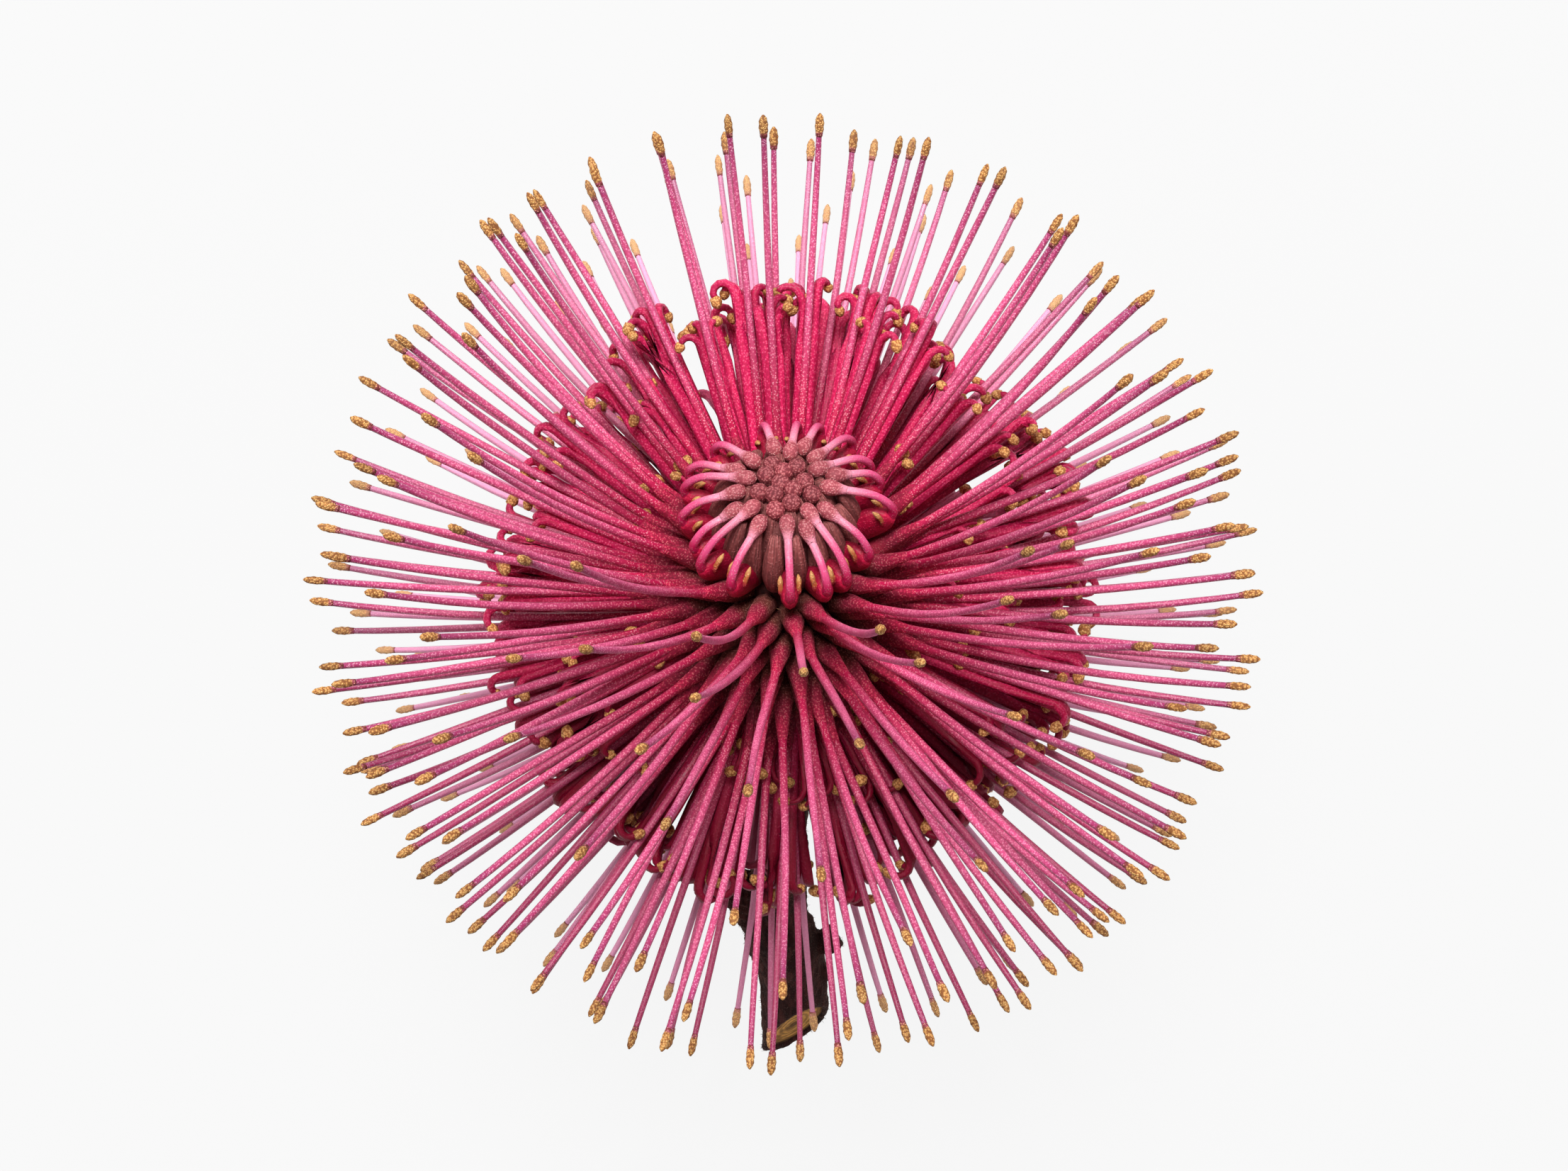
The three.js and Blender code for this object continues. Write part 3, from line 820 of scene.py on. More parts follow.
def make_bowed_styles(material):
    bm = new_piece()
    template = rod(HOOP_SIDES, HOOP_RINGS)
    radii = swollen(HOOP_RINGS, HOOP_PROFILE)
    for k in range(BUDS, BUDS + HOOPS):
        points = bowed_points(k)
        path = [through(points, lerp(KNOB_SHARE * HOOP_FROM, 1, share)) for share in shares(HOOP_RINGS)]
        aside = level_pair(k * GOLDEN_ANGLE)[1]
        grow(bm, template, stations(path, aside), radii, pick=draw(k, 26))
    finish_piece("bowed_styles", bm, [material])


def make_sheaths(material):
    """The split sheath that each bowed style has risen out of, round its lower half."""
    bm = new_piece()
    template = rod(SHEATH_SIDES, len(SHEATH_WIDTHS))
    for k in range(BUDS, BUDS + HOOPS):
        points = bowed_points(k)
        path = [
            through(points, lerp(SHEATH_FROM, 1, share)) + UP * (SHEATH_RISE * min(2 * share, 1))
            for share in shares(len(SHEATH_WIDTHS))
        ]
        line = stations(path, level_pair(k * GOLDEN_ANGLE)[1])
        grow(bm, template, line, SHEATH_WIDTHS, SHEATH_DEPTHS, pick=draw(k, 27))
    finish_piece("split_sheaths", bm, [material])


def make_sheath_lobes(material):
    """The two lobes at the top of each sheath, standing up on either side of the bowed style."""
    bm = new_piece()
    template = rod(TAG_SIDES, len(TAG_WIDTHS))
    for k in range(BUDS, BUDS + HOOPS):
        out, aside = level_pair(k * GOLDEN_ANGLE)
        turn = bowed_points(k)[HOOP_TURN_POINT]
        for sign in (-1, 1):
            key = k * 2 + (sign > 0)
            foot = turn - out * TAG_IN + aside * (TAG_ASIDE * sign) - UP * TAG_BELOW
            lean = out * draw_between(TAG_LEAN, key, 29) + aside * (TAG_SPLAY * sign) + UP
            tip = foot + lean.normalized() * draw_between(TAG_LENGTH, key, 30)
            middle = foot.lerp(tip, 0.5) + out * TAG_BOW[0] + aside * TAG_BOW[1] * sign
            line = arched((foot, middle, tip), len(TAG_WIDTHS), aside)
            grow(bm, template, line, TAG_WIDTHS, TAG_DEPTHS, pick=draw(key, 32))
    finish_piece("sheath_lobes", bm, [material])


def make_receptacle(material):
    bm = new_piece()
    levels = [lerp(CORE[0][0], CORE[-1][0] + CORE_RISE, share) for share in shares(CORE_RINGS)]
    line = stations([UP * level for level in levels], LEVEL)
    grow(bm, rod(CORE_SIDES, CORE_RINGS), line, [piecewise(CORE, level) for level in levels])
    finish_piece("receptacle", bm, [material])


def make_chaff(material):
    """The tan hairs that stand between the florets, next to the buds."""
    bm = new_piece()
    template = spike()
    for k in range(CHAFF):
        around = k * GOLDEN_ANGLE
        level = draw_between(CHAFF_LEVEL, k, 33)
        foot = direction(90, around) * draw_between(CHAFF_REACH, k, 34) + UP * level
        lean = direction(draw_between(CHAFF_POLAR, k, 35), around + draw_between(CHAFF_TURN, k, 36))
        width = draw_between(CHAFF_WIDTH, k, 37)
        size = (width, width, draw_between(CHAFF_LENGTH, k, 38))
        place(bm, template, turned_to(lean, foot, size), pick=draw(k, 39))
    finish_piece("chaff_hairs", bm, [material])


# The stem


def skinned(bm, voxel):
    """One skin over the bodies of a piece, as voxels of that size give it."""
    mesh = bpy.data.meshes.new("rough")
    bm.to_mesh(mesh)
    bm.free()
    rough = bpy.data.objects.new("rough", mesh)
    bpy.context.scene.collection.objects.link(rough)
    remesh = rough.modifiers.new("remesh", "REMESH")
    remesh.mode = "VOXEL"
    remesh.voxel_size = voxel
    remesh.adaptivity = 0
    graph = bpy.context.evaluated_depsgraph_get()
    made = bpy.data.meshes.new_from_object(rough.evaluated_get(graph))
    bpy.data.objects.remove(rough)
    skin = new_piece()
    skin.from_mesh(made)
    bpy.data.meshes.remove(made)
    return skin


def stem_bodies():
    """The stalk, the twig that it grew from and the twig's shoots, as bodies sunk into each other."""
    bm = new_piece()
    start = HEAD_CENTRE - PLAN_SHIFT + HEAD_TURN @ Vector((0, 0, -STALK_FROM))
    pulls = (start + HEAD_TURN @ Vector((0, 0, -1)) * STALK_PULLS[0], KNEE + STALK_PULLS[1])
    path = [cubic((start, *pulls, KNEE), share) for share in shares(STEM_RINGS)]
    grow(bm, rod(STALK_SIDES, STEM_RINGS), stations(path, LEVEL), spread(STALK_RADII, STEM_RINGS))

    slope = math.radians(TWIG_SLOPE)
    end = Vector((0, math.cos(slope), -math.sin(slope)))
    before, past = TWIG_CUT - end * TWIG_BEFORE_CUT, TWIG_CUT + end * TWIG_PAST_CUT
    points = [OLD_TIP, KNEE.lerp(OLD_TIP, OLD_WOOD_SHARE), KNEE, before, past]
    path = [through(points, share) for share in shares(STEM_RINGS)]
    grow(bm, rod(TWIG_SIDES, STEM_RINGS), stations(path, LEVEL), spread(TWIG_RADII, STEM_RINGS))

    for sides, foot, lean, length, radii in SHOOTS:
        path = [foot + lean.normalized() * (length * share) for share in shares(len(radii))]
        corner = UP + UP.cross(lean) if sides == SQUARE else UP
        grow(bm, rod(sides, len(radii)), stations(path, corner), radii)
    return bm


def roughen_bark(bm):
    """Furrows along the bark, slow lumps, and the ribs of the scar at the pruned leader's end."""
    across, along, leaning = FURROW_SCALES
    bm.normal_update()
    for vert in bm.verts:
        x, y, z = vert.co
        furrow = noise.fractal(Vector((x * across, y * along, z * across + y * leaning)), *FURROW_NOISE)
        lump = noise.noise(vert.co * LUMP_SCALE)
        scarred = smooth_share((vert.co - OLD_TIP).length, *SCAR_REACH)
        rib = math.sin(y * SCAR_WAVES[0] + x * SCAR_WAVES[1] + SCAR_WAVES[2] * lump)
        vert.co += vert.normal * (FURROW_HEIGHT * furrow + LUMP_HEIGHT * lump + SCAR_HEIGHT * scarred * rib)


def cut_twig(bm):
    """Cuts the twig's end off at its slant and closes it with a rim of bark round the wood."""
    normal = TWIG_CUT_NORMAL.normalized()
    whole = bm.verts[:] + bm.edges[:] + bm.faces[:]
    cut = bmesh.ops.bisect_plane(bm, geom=whole, plane_co=TWIG_CUT, plane_no=normal, clear_outer=True)
    rim = [item for item in cut["geom_cut"] if isinstance(item, bmesh.types.BMEdge)]
    end = bmesh.ops.contextual_create(bm, geom=rim)["faces"]
    if not end:
        raise RuntimeError("the twig's cut end was not closed")
    middle = end[0].calc_center_median()
    for shrink, rise in CUT_STEPS:
        grown = bmesh.ops.extrude_face_region(bm, geom=end)["geom"]
        bmesh.ops.delete(bm, geom=end, context="FACES_ONLY")
        end = [item for item in grown if isinstance(item, bmesh.types.BMFace)]
        for vert in (item for item in grown if isinstance(item, bmesh.types.BMVert)):
            vert.co = middle + (vert.co - middle) * shrink + normal * rise
        middle += normal * rise
    end[0].material_index = 1
    for edge in end[0].edges:
        edge.smooth = False
    bmesh.ops.recalc_face_normals(bm, faces=bm.faces[:])
    bmesh.ops.triangulate(bm, faces=end)


def stem_hairs(bark):
    """Hairs on the bark's faces, apart from the cut end and the side that the stem lies on."""
    hairs = new_piece()
    template = spike()
    bark.faces.ensure_lookup_table()
    bark.normal_update()
    for k in range(STEM_HAIRS):
        face = bark.faces[int(draw(k, 40) * len(bark.faces))]
        at = face.calc_center_median()
        if face.material_index or at.z < HAIR_LOWEST:
            continue
        scatter = Vector((draw(k, 41) - 0.5, draw(k, 42) - 0.5, draw(k, 43) - 0.5)) * HAIR_SCATTER
        length = bpy.context.scene.protea.hair_length / MM * draw_between(HAIR_LENGTHS, k, 44)
        foot = at - face.normal * HAIR_SUNK
        size = (HAIR_WIDTH, HAIR_WIDTH, length)
        place(hairs, template, turned_to(face.normal + scatter, foot, size), pick=draw(k, 45))
    return hairs


def make_stem(bark_look, wood_look, hair_look):
    bark = skinned(stem_bodies(), BARK_VOXEL)
    roughen_bark(bark)
    cut_twig(bark)
    hairs = stem_hairs(bark)
    finish_piece("stem_bark", bark, [bark_look, wood_look], STEM, nodes=["stem"])
    finish_piece("stem_hairs", hairs, [hair_look], STEM)


def make_bracts(material):
    bm = new_piece()
    template = blade(BRACT_COLUMNS, BRACT_RINGS, BRACT_CHANNEL)
    widths, depths = swollen(BRACT_RINGS, BRACT_PROFILE), [BRACT_THICKNESS] * BRACT_RINGS
    low = BRACT_LEVELS[0]
    for row in range(BRACT_ROWS):
        reach = BRACT_REACHES[1] + row * BRACT_ROW_REACH
        for k in range(BRACTS_IN_ROW):
            out, aside = level_pair(k * 360 / BRACTS_IN_ROW + row * BRACT_ROW_TURN)
            high = BRACT_LEVELS[1] + BRACT_LEVEL_SPREAD * draw(k, 31) - row * BRACT_ROW_DROP
            bend = out * reach + UP * lerp(low, high, BRACT_BENDS_AT)
            points = (out * BRACT_REACHES[0] + UP * low, bend, out * reach + UP * high)
            pick = draw(k + BRACTS_IN_ROW * row, 46)
            grow(bm, template, arched(points, BRACT_RINGS, aside), widths, depths, pick=pick)
    finish_piece("bracts", bm, [material])


# Materials

# The pattern of every plant tissue. An edge goes from where a mask starts to where it is whole
PATCHES_PER_METRE = 260.0
PATCHES_SHARE = 0.8
SHADE_RANGE = (0.3, 1.5)
# The granules' tops, which tissues lighten partly as a painted highlight, and the gaps between them, which
# they darken as painted shade
DOT_EDGE = (0.45, 0.15)
HOLLOW_SHADE_EDGE = (0.35, 0.7)
FIBRE_EDGE = (0.35, 0.65)
FIBRE_VARIETY = 40.0
FIBRE_SHADE = 0.35
# Where the painted shade at a piece's sides starts and is whole, off its middle
SIDE_SHADE_EDGE = (0.12, 0.5)
CALMED = 0.25
ROUGHER = 0.08
GLOW_RADIUS = (1.0, 0.3, 0.3)
GLOW_DEPTH = 0.0005
NO_COLOUR = ("ffffff", 0)

# The pattern of the bark and of the cut wood, in metres
BARK_STRETCH = (1.0, 0.22, 1.0)
RING_WAVES_PER_METRE = 9000.0
RING_WANDER = 9.0
PITH_EDGE = (0.0012, 0.0004)
RIM_EDGE = (0.0029, 0.0038)


def paint(code):
    """A colour from its usual six-figure code, in linear light."""
    parts = [int(code[k : k + 2], 16) / 255 for k in (0, 2, 4)]
    return [p / 12.92 if p <= 0.04045 else ((p + 0.055) / 1.055) ** 2.4 for p in parts]


def add(tree, kind, inputs=None, **settings):
    """Adds a node, sets it, and gives each named input a value or a link."""
    made = tree.nodes.new(kind)
    for name, value in settings.items():
        setattr(made, name, value)
    for name, value in (inputs or {}).items():
        socket = made.inputs[name]
        if isinstance(value, bpy.types.NodeSocket):
            tree.links.new(value, socket)
        elif socket.type == "RGBA":
            socket.default_value = (*value, 1)
        else:
            socket.default_value = value
    return made


def group(name, inputs, outputs):
    """A shader node group with its sockets, and its input and output nodes."""
    tree = bpy.data.node_groups.new(name, "ShaderNodeTree")
    for label, kind, default in inputs:
        made = tree.interface.new_socket(name=label, in_out="INPUT", socket_type=kind)
        made.default_value = (*default, 1) if kind == "NodeSocketColor" else default
    for label, kind in outputs:
        tree.interface.new_socket(name=label, in_out="OUTPUT", socket_type=kind)
    return tree, tree.nodes.new("NodeGroupInput"), tree.nodes.new("NodeGroupOutput")


COLOR, FLOAT = "NodeSocketColor", "NodeSocketFloat"


def attribute(tree, name):
    return add(tree, "ShaderNodeAttribute", attribute_name=name, attribute_type="GEOMETRY").outputs["Fac"]


def mapped(tree, value, low, high, to_low=0.0, to_high=1.0, smooth=True):
    return add(
        tree,
        "ShaderNodeMapRange",
        {"Value": value, "From Min": low, "From Max": high, "To Min": to_low, "To Max": to_high},
        interpolation_type="SMOOTHSTEP" if smooth else "LINEAR",
    ).outputs["Result"]


def mixed(tree, factor, first, second, blend="MIX"):
    made = add(tree, "ShaderNodeMix", data_type="RGBA", blend_type=blend)
    for socket, value in ((made.inputs[0], factor), (made.inputs[6], first), (made.inputs[7], second)):
        if isinstance(value, bpy.types.NodeSocket):
            tree.links.new(value, socket)
        elif isinstance(value, (int, float)):
            socket.default_value = value
        else:
            socket.default_value = (*value, 1)
    return made.outputs[2]


def maths(tree, operation, first, second=0.0):
    return add(tree, "ShaderNodeMath", {0: first, 1: second}, operation=operation).outputs[0]


def linked_bump(tree, shader, height, strength, distance):
    """Gives a shader a relief that is `distance` metres high."""
    bump = add(tree, "ShaderNodeBump", {"Height": height, "Strength": strength, "Distance": distance})
    tree.links.new(bump.outputs[0], shader.inputs["Normal"])


def new_material(name):
    """A material with nodes, its tree and its shader."""
    material = bpy.data.materials.new(name)
    material.use_nodes = True
    return material, material.node_tree, material.node_tree.nodes["Principled BSDF"]


def settle(shader, values):
    """Sets what is the same all over a surface."""
    for name, value in values.items():
        shader.inputs[name].default_value = value


def graded_group():
    """Three colours along a piece, from its foot to its end."""
    tree, given, out = group(
        "Graded along",
        [
            ("Foot", COLOR, (1, 1, 1)), ("Middle", COLOR, (1, 1, 1)), ("End", COLOR, (1, 1, 1)),
            ("Foot until", FLOAT, 0.1), ("Middle from", FLOAT, 0.3),
            ("Middle until", FLOAT, 0.6), ("End from", FLOAT, 0.9),
        ],
        [("Color", COLOR)],
    )
    given = given.outputs
    along = attribute(tree, "along")
    first = mapped(tree, along, given["Foot until"], given["Middle from"])
    second = mapped(tree, along, given["Middle until"], given["End from"])
    low = mixed(tree, first, given["Foot"], given["Middle"])
    tree.links.new(mixed(tree, second, low, given["End"]), out.inputs["Color"])


def granule_group():
    """Fine granules on plant tissue: a mask that is high on each granule, one that is high in the gaps
    between them for painted shade, and slower patches.
    """
    tree, given, out = group(
        "Granules", [("Per metre", FLOAT, 2500.0)], [("Dots", FLOAT), ("Hollow shade", FLOAT), ("Patches", FLOAT)]
    )
    where = add(tree, "ShaderNodeTexCoord").outputs["Object"]
    cells = add(tree, "ShaderNodeTexVoronoi", {"Vector": where, "Scale": given.outputs["Per metre"]})
    distance = cells.outputs["Distance"]
    patches = add(tree, "ShaderNodeTexNoise", {"Vector": where, "Scale": PATCHES_PER_METRE, "Detail": 3.0})
    tree.links.new(mapped(tree, distance, *DOT_EDGE), out.inputs["Dots"])
    tree.links.new(mapped(tree, distance, *HOLLOW_SHADE_EDGE), out.inputs["Hollow shade"])
    tree.links.new(patches.outputs["Fac"], out.inputs["Patches"])


def fibre_group():
    """Lines that run along a piece, from its own marks of place along and across."""
    tree, given, out = group("Fibres", [("Lines", FLOAT, 8.0), ("Waviness", FLOAT, 2.0)], [("Mask", FLOAT)])
    where = add(
        tree, "ShaderNodeCombineXYZ",
        {
            "X": maths(tree, "MULTIPLY", attribute(tree, "across"), given.outputs["Lines"]),
            "Y": maths(tree, "MULTIPLY", attribute(tree, "along"), given.outputs["Waviness"]),
            "Z": maths(tree, "MULTIPLY", attribute(tree, "pick"), FIBRE_VARIETY),
        },
    )
    lines = add(tree, "ShaderNodeTexNoise", {"Vector": where.outputs[0], "Scale": 1.0, "Detail": 2.0})
    tree.links.new(mapped(tree, lines.outputs["Fac"], *FIBRE_EDGE), out.inputs["Mask"])


def variety_group():
    """A piece's own tone among its like, paler where it is marked pale, and deeper where it is marked deep:
    painted shade on styles and perianths, and a crimson on collars that are not brown.
    """
    tree, given, out = group(
        "Variety",
        [
            ("Color", COLOR, (1, 1, 1)), ("Faded", COLOR, (1, 1, 1)), ("Fading", FLOAT, 0.5),
            ("Darkest", FLOAT, 0.8), ("Lightest", FLOAT, 1.15), ("Patches", FLOAT, 0.5),
            ("Deep", COLOR, (1, 1, 1)), ("Deepening", FLOAT, 0.0),
            ("From", FLOAT, 0.0), ("Whole at", FLOAT, 0.1),
        ],
        [("Color", COLOR)],
    )
    given = given.outputs
    patches = maths(tree, "MULTIPLY", given["Patches"], PATCHES_SHARE)
    shade = maths(tree, "ADD", patches, attribute(tree, "pick"))
    value = mapped(tree, shade, *SHADE_RANGE, given["Darkest"], given["Lightest"], smooth=False)
    shaded = add(tree, "ShaderNodeHueSaturation", {"Color": given["Color"], "Value": value}).outputs[0]
    eased = mapped(tree, attribute(tree, "along"), given["From"], given["Whole at"])
    marks = [
        maths(tree, "MULTIPLY", maths(tree, "MULTIPLY", attribute(tree, name), given[strength]), eased)
        for name, strength in (("deep", "Deepening"), ("pale", "Fading"))
    ]
    deepened = mixed(tree, marks[0], shaded, given["Deep"])
    tree.links.new(mixed(tree, marks[1], deepened, given["Faded"]), out.inputs["Color"])


def side_shade_group():
    """Painted shade: a deeper colour towards both sides of a piece, by its marks of place across."""
    tree, given, out = group(
        "Painted side shade",
        [("Color", COLOR, (1, 1, 1)), ("Sides", COLOR, (1, 1, 1)), ("Strength", FLOAT, 0.0)],
        [("Color", COLOR)],
    )
    given = given.outputs
    off_middle = maths(tree, "ABSOLUTE", maths(tree, "SUBTRACT", attribute(tree, "across"), 0.5))
    factor = maths(tree, "MULTIPLY", mapped(tree, off_middle, *SIDE_SHADE_EDGE), given["Strength"])
    tree.links.new(mixed(tree, factor, given["Color"], given["Sides"]), out.inputs["Color"])


def use(tree, name, inputs):
    """Places one of the shared groups in a material, with its own values."""
    return add(tree, "ShaderNodeGroup", inputs, node_tree=bpy.data.node_groups[name]).outputs


def tissue(
    name, colours, stops=(0.1, 0.35, 0.6, 0.95), grain=3000, dots=None, hollow_shade=None, lines=(4, 3, 0.15),
    faded=NO_COLOUR, deep=NO_COLOUR, eased=(0, 0.1), sides=None, variety=(0.85, 1.12), rough=0.5,
    bumps=(0.5, 0.3), glow=0.08, gloss=0.3, calm=None,
):
    """A plant tissue: graded along its length, with granules, fibres and a variety from piece to piece.

    `grain` is in granules a metre, and `lines` is the number, waviness and strength of the fibres. dots, the
    gaps' colour, faded, deep and sides are each a colour and its strength. The dots are the granules' own
    speckle and partly a painted highlight on them, and the gaps' colour is painted shade between them; deep
    is painted shade on styles and perianths and a crimson on collars, and sides is painted shade towards
    both sides of a piece. `eased` is where along a piece faded and deep start and are whole, and `calm`
    where the granules start to fade and have faded. `bumps` are the heights of granules and fibres.
    """
    material, tree, shader = new_material(name)
    foot, middle, end = colours
    colour = use(tree, "Graded along", {
        "Foot": foot, "Middle": middle, "End": end,
        "Foot until": stops[0], "Middle from": stops[1], "Middle until": stops[2], "End from": stops[3],
    })["Color"]
    grains = use(tree, "Granules", {"Per metre": grain})
    fibres = use(tree, "Fibres", {"Lines": lines[0], "Waviness": lines[1]})["Mask"]
    strong = mapped(tree, attribute(tree, "along"), *calm, 1, CALMED) if calm else 1.0
    # Pale dots on the granules, partly a painted highlight, and painted shade in the gaps between them
    for mask, spots in (("Dots", dots), ("Hollow shade", hollow_shade)):
        if spots:
            factor = maths(tree, "MULTIPLY", maths(tree, "MULTIPLY", grains[mask], spots[1]), strong)
            colour = mixed(tree, factor, colour, paint(spots[0]))
    darker = [part * FIBRE_SHADE for part in middle]
    colour = mixed(tree, mapped(tree, fibres, 0, 1, lines[2], 0), colour, darker)
    colour = use(tree, "Variety", {
        "Color": colour, "Faded": paint(faded[0]), "Fading": faded[1],
        "Deep": paint(deep[0]), "Deepening": deep[1], "Darkest": variety[0], "Lightest": variety[1],
        "Patches": grains["Patches"], "From": eased[0], "Whole at": eased[1],
    })["Color"]
    # Painted shade towards both sides of a piece
    if sides:
        inputs = {"Color": colour, "Sides": paint(sides[0]), "Strength": sides[1]}
        colour = use(tree, "Painted side shade", inputs)["Color"]
    tree.links.new(colour, shader.inputs["Base Color"])
    granules = maths(tree, "MULTIPLY", grains["Dots"], bumps[0])
    ridges = maths(tree, "MULTIPLY", fibres, bumps[1])
    linked_bump(tree, shader, maths(tree, "ADD", granules, ridges), 0.7, 0.0001)
    roughness = mapped(tree, grains["Patches"], 0.3, 0.7, rough - ROUGHER, rough + ROUGHER)
    tree.links.new(roughness, shader.inputs["Roughness"])
    settle(shader, {
        "Subsurface Weight": glow, "Subsurface Radius": GLOW_RADIUS, "Subsurface Scale": GLOW_DEPTH,
        "Specular IOR Level": gloss,
    })
    return material


def bark_material(name, dark, pale):
    """Bark with fine fibres along the stem, tan granules of down and darker patches."""
    material, tree, shader = new_material(name)
    where = add(tree, "ShaderNodeTexCoord").outputs["Object"]
    stretched = add(tree, "ShaderNodeMapping", {"Vector": where, "Scale": BARK_STRETCH}).outputs[0]
    fibres = add(tree, "ShaderNodeTexNoise", {"Vector": stretched, "Scale": 1500.0, "Detail": 4.0})
    fibres = fibres.outputs["Fac"]
    grains = use(tree, "Granules", {"Per metre": 3200.0})
    colour = mixed(tree, mapped(tree, fibres, 0.4, 0.66), dark, pale)
    colour = mixed(tree, mapped(tree, grains["Dots"], 0, 1, 0, 0.25), colour, paint("5e3a32"))
    colour = mixed(tree, mapped(tree, grains["Patches"], 0.45, 0.7, 0, 0.6), colour, paint("170e0b"))
    tree.links.new(colour, shader.inputs["Base Color"])
    height = maths(tree, "ADD", fibres, maths(tree, "MULTIPLY", grains["Dots"], 0.4))
    linked_bump(tree, shader, height, 0.8, 0.0003)
    settle(shader, {
        "Roughness": 0.85, "Specular IOR Level": 0.2, "Sheen Weight": 0.1, "Sheen Roughness": 0.45,
        "Sheen Tint": (*paint("b8a890"), 1),
    })
    return material


def wood_material(name, wood):
    """The cut end: growth rings round the middle of the twig, a dark pith, and a dark rim under the bark."""
    material, tree, shader = new_material(name)
    where = add(tree, "ShaderNodeTexCoord").outputs["Object"]
    centre = (TWIG_CUT + PLAN_SHIFT) * MM
    slope = (math.radians(-TWIG_SLOPE), 0, 0)
    centred = add(
        tree, "ShaderNodeMapping", {"Vector": where, "Location": centre, "Rotation": slope},
        vector_type="TEXTURE",
    ).outputs[0]
    flat = add(tree, "ShaderNodeVectorMath", {0: centred, 1: (1, 0, 1)}, operation="MULTIPLY").outputs[0]
    radius = add(tree, "ShaderNodeVectorMath", {0: flat}, operation="LENGTH").outputs["Value"]
    wander = add(tree, "ShaderNodeTexNoise", {"Vector": where, "Scale": 700.0, "Detail": 4.0}).outputs["Fac"]
    ring = maths(tree, "MULTIPLY", radius, RING_WAVES_PER_METRE)
    rings = maths(tree, "SINE", maths(tree, "ADD", ring, maths(tree, "MULTIPLY", wander, RING_WANDER)))
    colour = mixed(tree, mapped(tree, rings, -1, 1, 0, 0.7), wood, paint("8a6232"))
    colour = mixed(tree, mapped(tree, wander, 0.45, 0.7, 0, 0.7), colour, paint("6f4a26"))
    colour = mixed(tree, mapped(tree, radius, *PITH_EDGE, 0, 0.75), colour, paint("4a2d16"))
    colour = mixed(tree, mapped(tree, radius, *RIM_EDGE, 0, 0.9), colour, paint("3a2415"))
    tree.links.new(colour, shader.inputs["Base Color"])
    linked_bump(tree, shader, maths(tree, "ADD", rings, wander), 0.5, 0.0001)
    settle(shader, {"Roughness": 0.7, "Specular IOR Level": 0.1})
    return material


# The stage

# The stage, in metres, with each lamp's name, place, size and power
FLOOR_HALF = 3
FLOOR_DROP = 0.00005
FLOOR_LIT = (0.8, 0.8, 0.8)
FLOOR_SEEN = (0.02, 0.02, 0.02)
FLOOR_GLOW = 0.89
SKY_STRENGTH = 0.22
LAMPS = (
    ("overhead", (0.05, -0.42, 0.84), 0.4, 13.0),
    ("left", (0.8, 0.1, 0.5), 0.6, 1.5),
    ("right", (-0.8, 0.1, 0.5), 0.6, 1.5),
)
LAMPS_AIM = (0, 0, 0.04)
CAMERA_HEIGHT = 0.350
CAMERA_OFF_HEAD = (0.12, -0.9)
VIEW_WIDTH = 0.1828
SENSOR = 36


def make_floor():
    """A pale floor, which the camera sees as evenly lit and the flower as a plain grey surface."""
    bm = bmesh.new()
    bmesh.ops.create_grid(bm, x_segments=1, y_segments=1, size=FLOOR_HALF)
    bmesh.ops.translate(bm, verts=bm.verts, vec=(0, 0, -FLOOR_DROP))
    mesh = bpy.data.meshes.new("floor")
    bm.to_mesh(mesh)
    bm.free()
    floor = bpy.data.objects.new("floor", mesh)
    bpy.context.scene.collection.objects.link(floor)
    material, tree, shader = new_material("pale floor")
    settle(shader, {"Roughness": 0.9, "Emission Color": (1, 1, 1, 1)})
    seen = add(tree, "ShaderNodeLightPath").outputs["Is Camera Ray"]
    tree.links.new(mixed(tree, seen, FLOOR_LIT, FLOOR_SEEN), shader.inputs["Base Color"])
    tree.links.new(maths(tree, "MULTIPLY", seen, FLOOR_GLOW), shader.inputs["Emission Strength"])
    mesh.materials.append(material)


def make_lights():
    """Soft lamps over the head and at both sides, and a weak even light from all round."""
    world = bpy.data.worlds.new("studio")
    world.use_nodes = True
    settle(world.node_tree.nodes["Background"], {"Color": (1, 1, 1, 1), "Strength": SKY_STRENGTH})
    bpy.context.scene.world = world
    for name, at, size, power in LAMPS:
        lamp = bpy.data.lights.new(name, "AREA")
        lamp.shape = "DISK"
        lamp.size = size
        lamp.energy = power
        made = bpy.data.objects.new(name, lamp)
        made.location = at
        made.rotation_euler = (Vector(at) - Vector(LAMPS_AIM)).to_track_quat("Z", "Y").to_euler()
        bpy.context.scene.collection.objects.link(made)


def make_camera():
    """The camera, straight above the head, with the stem towards the picture's bottom."""
    camera = bpy.data.cameras.new("camera")
    camera.sensor_width = SENSOR
    camera.lens = SENSOR * (CAMERA_HEIGHT - HEAD_CENTRE.z * MM) / VIEW_WIDTH
    camera.clip_start = 0.01
    camera.clip_end = 10
    made = bpy.data.objects.new("camera", camera)
    aside, back = CAMERA_OFF_HEAD
    made.location = ((HEAD_CENTRE.x + aside) * MM, (HEAD_CENTRE.y + back) * MM, CAMERA_HEIGHT)
    made.rotation_euler = (0, 0, math.pi)
    scene = bpy.context.scene
    scene.collection.objects.link(made)
    scene.camera = made
    scene.view_settings.view_transform = "Standard"


# What a user would change


def size_property(name, default, low, high, description):
    return FloatProperty(
        name=name, description=description, default=default, min=low, max=high, unit="LENGTH"
    )


def colour_property(name, code, description):
    return FloatVectorProperty(
        name=name, description=description, default=paint(code), size=3, min=0, max=1, subtype="COLOR"
    )


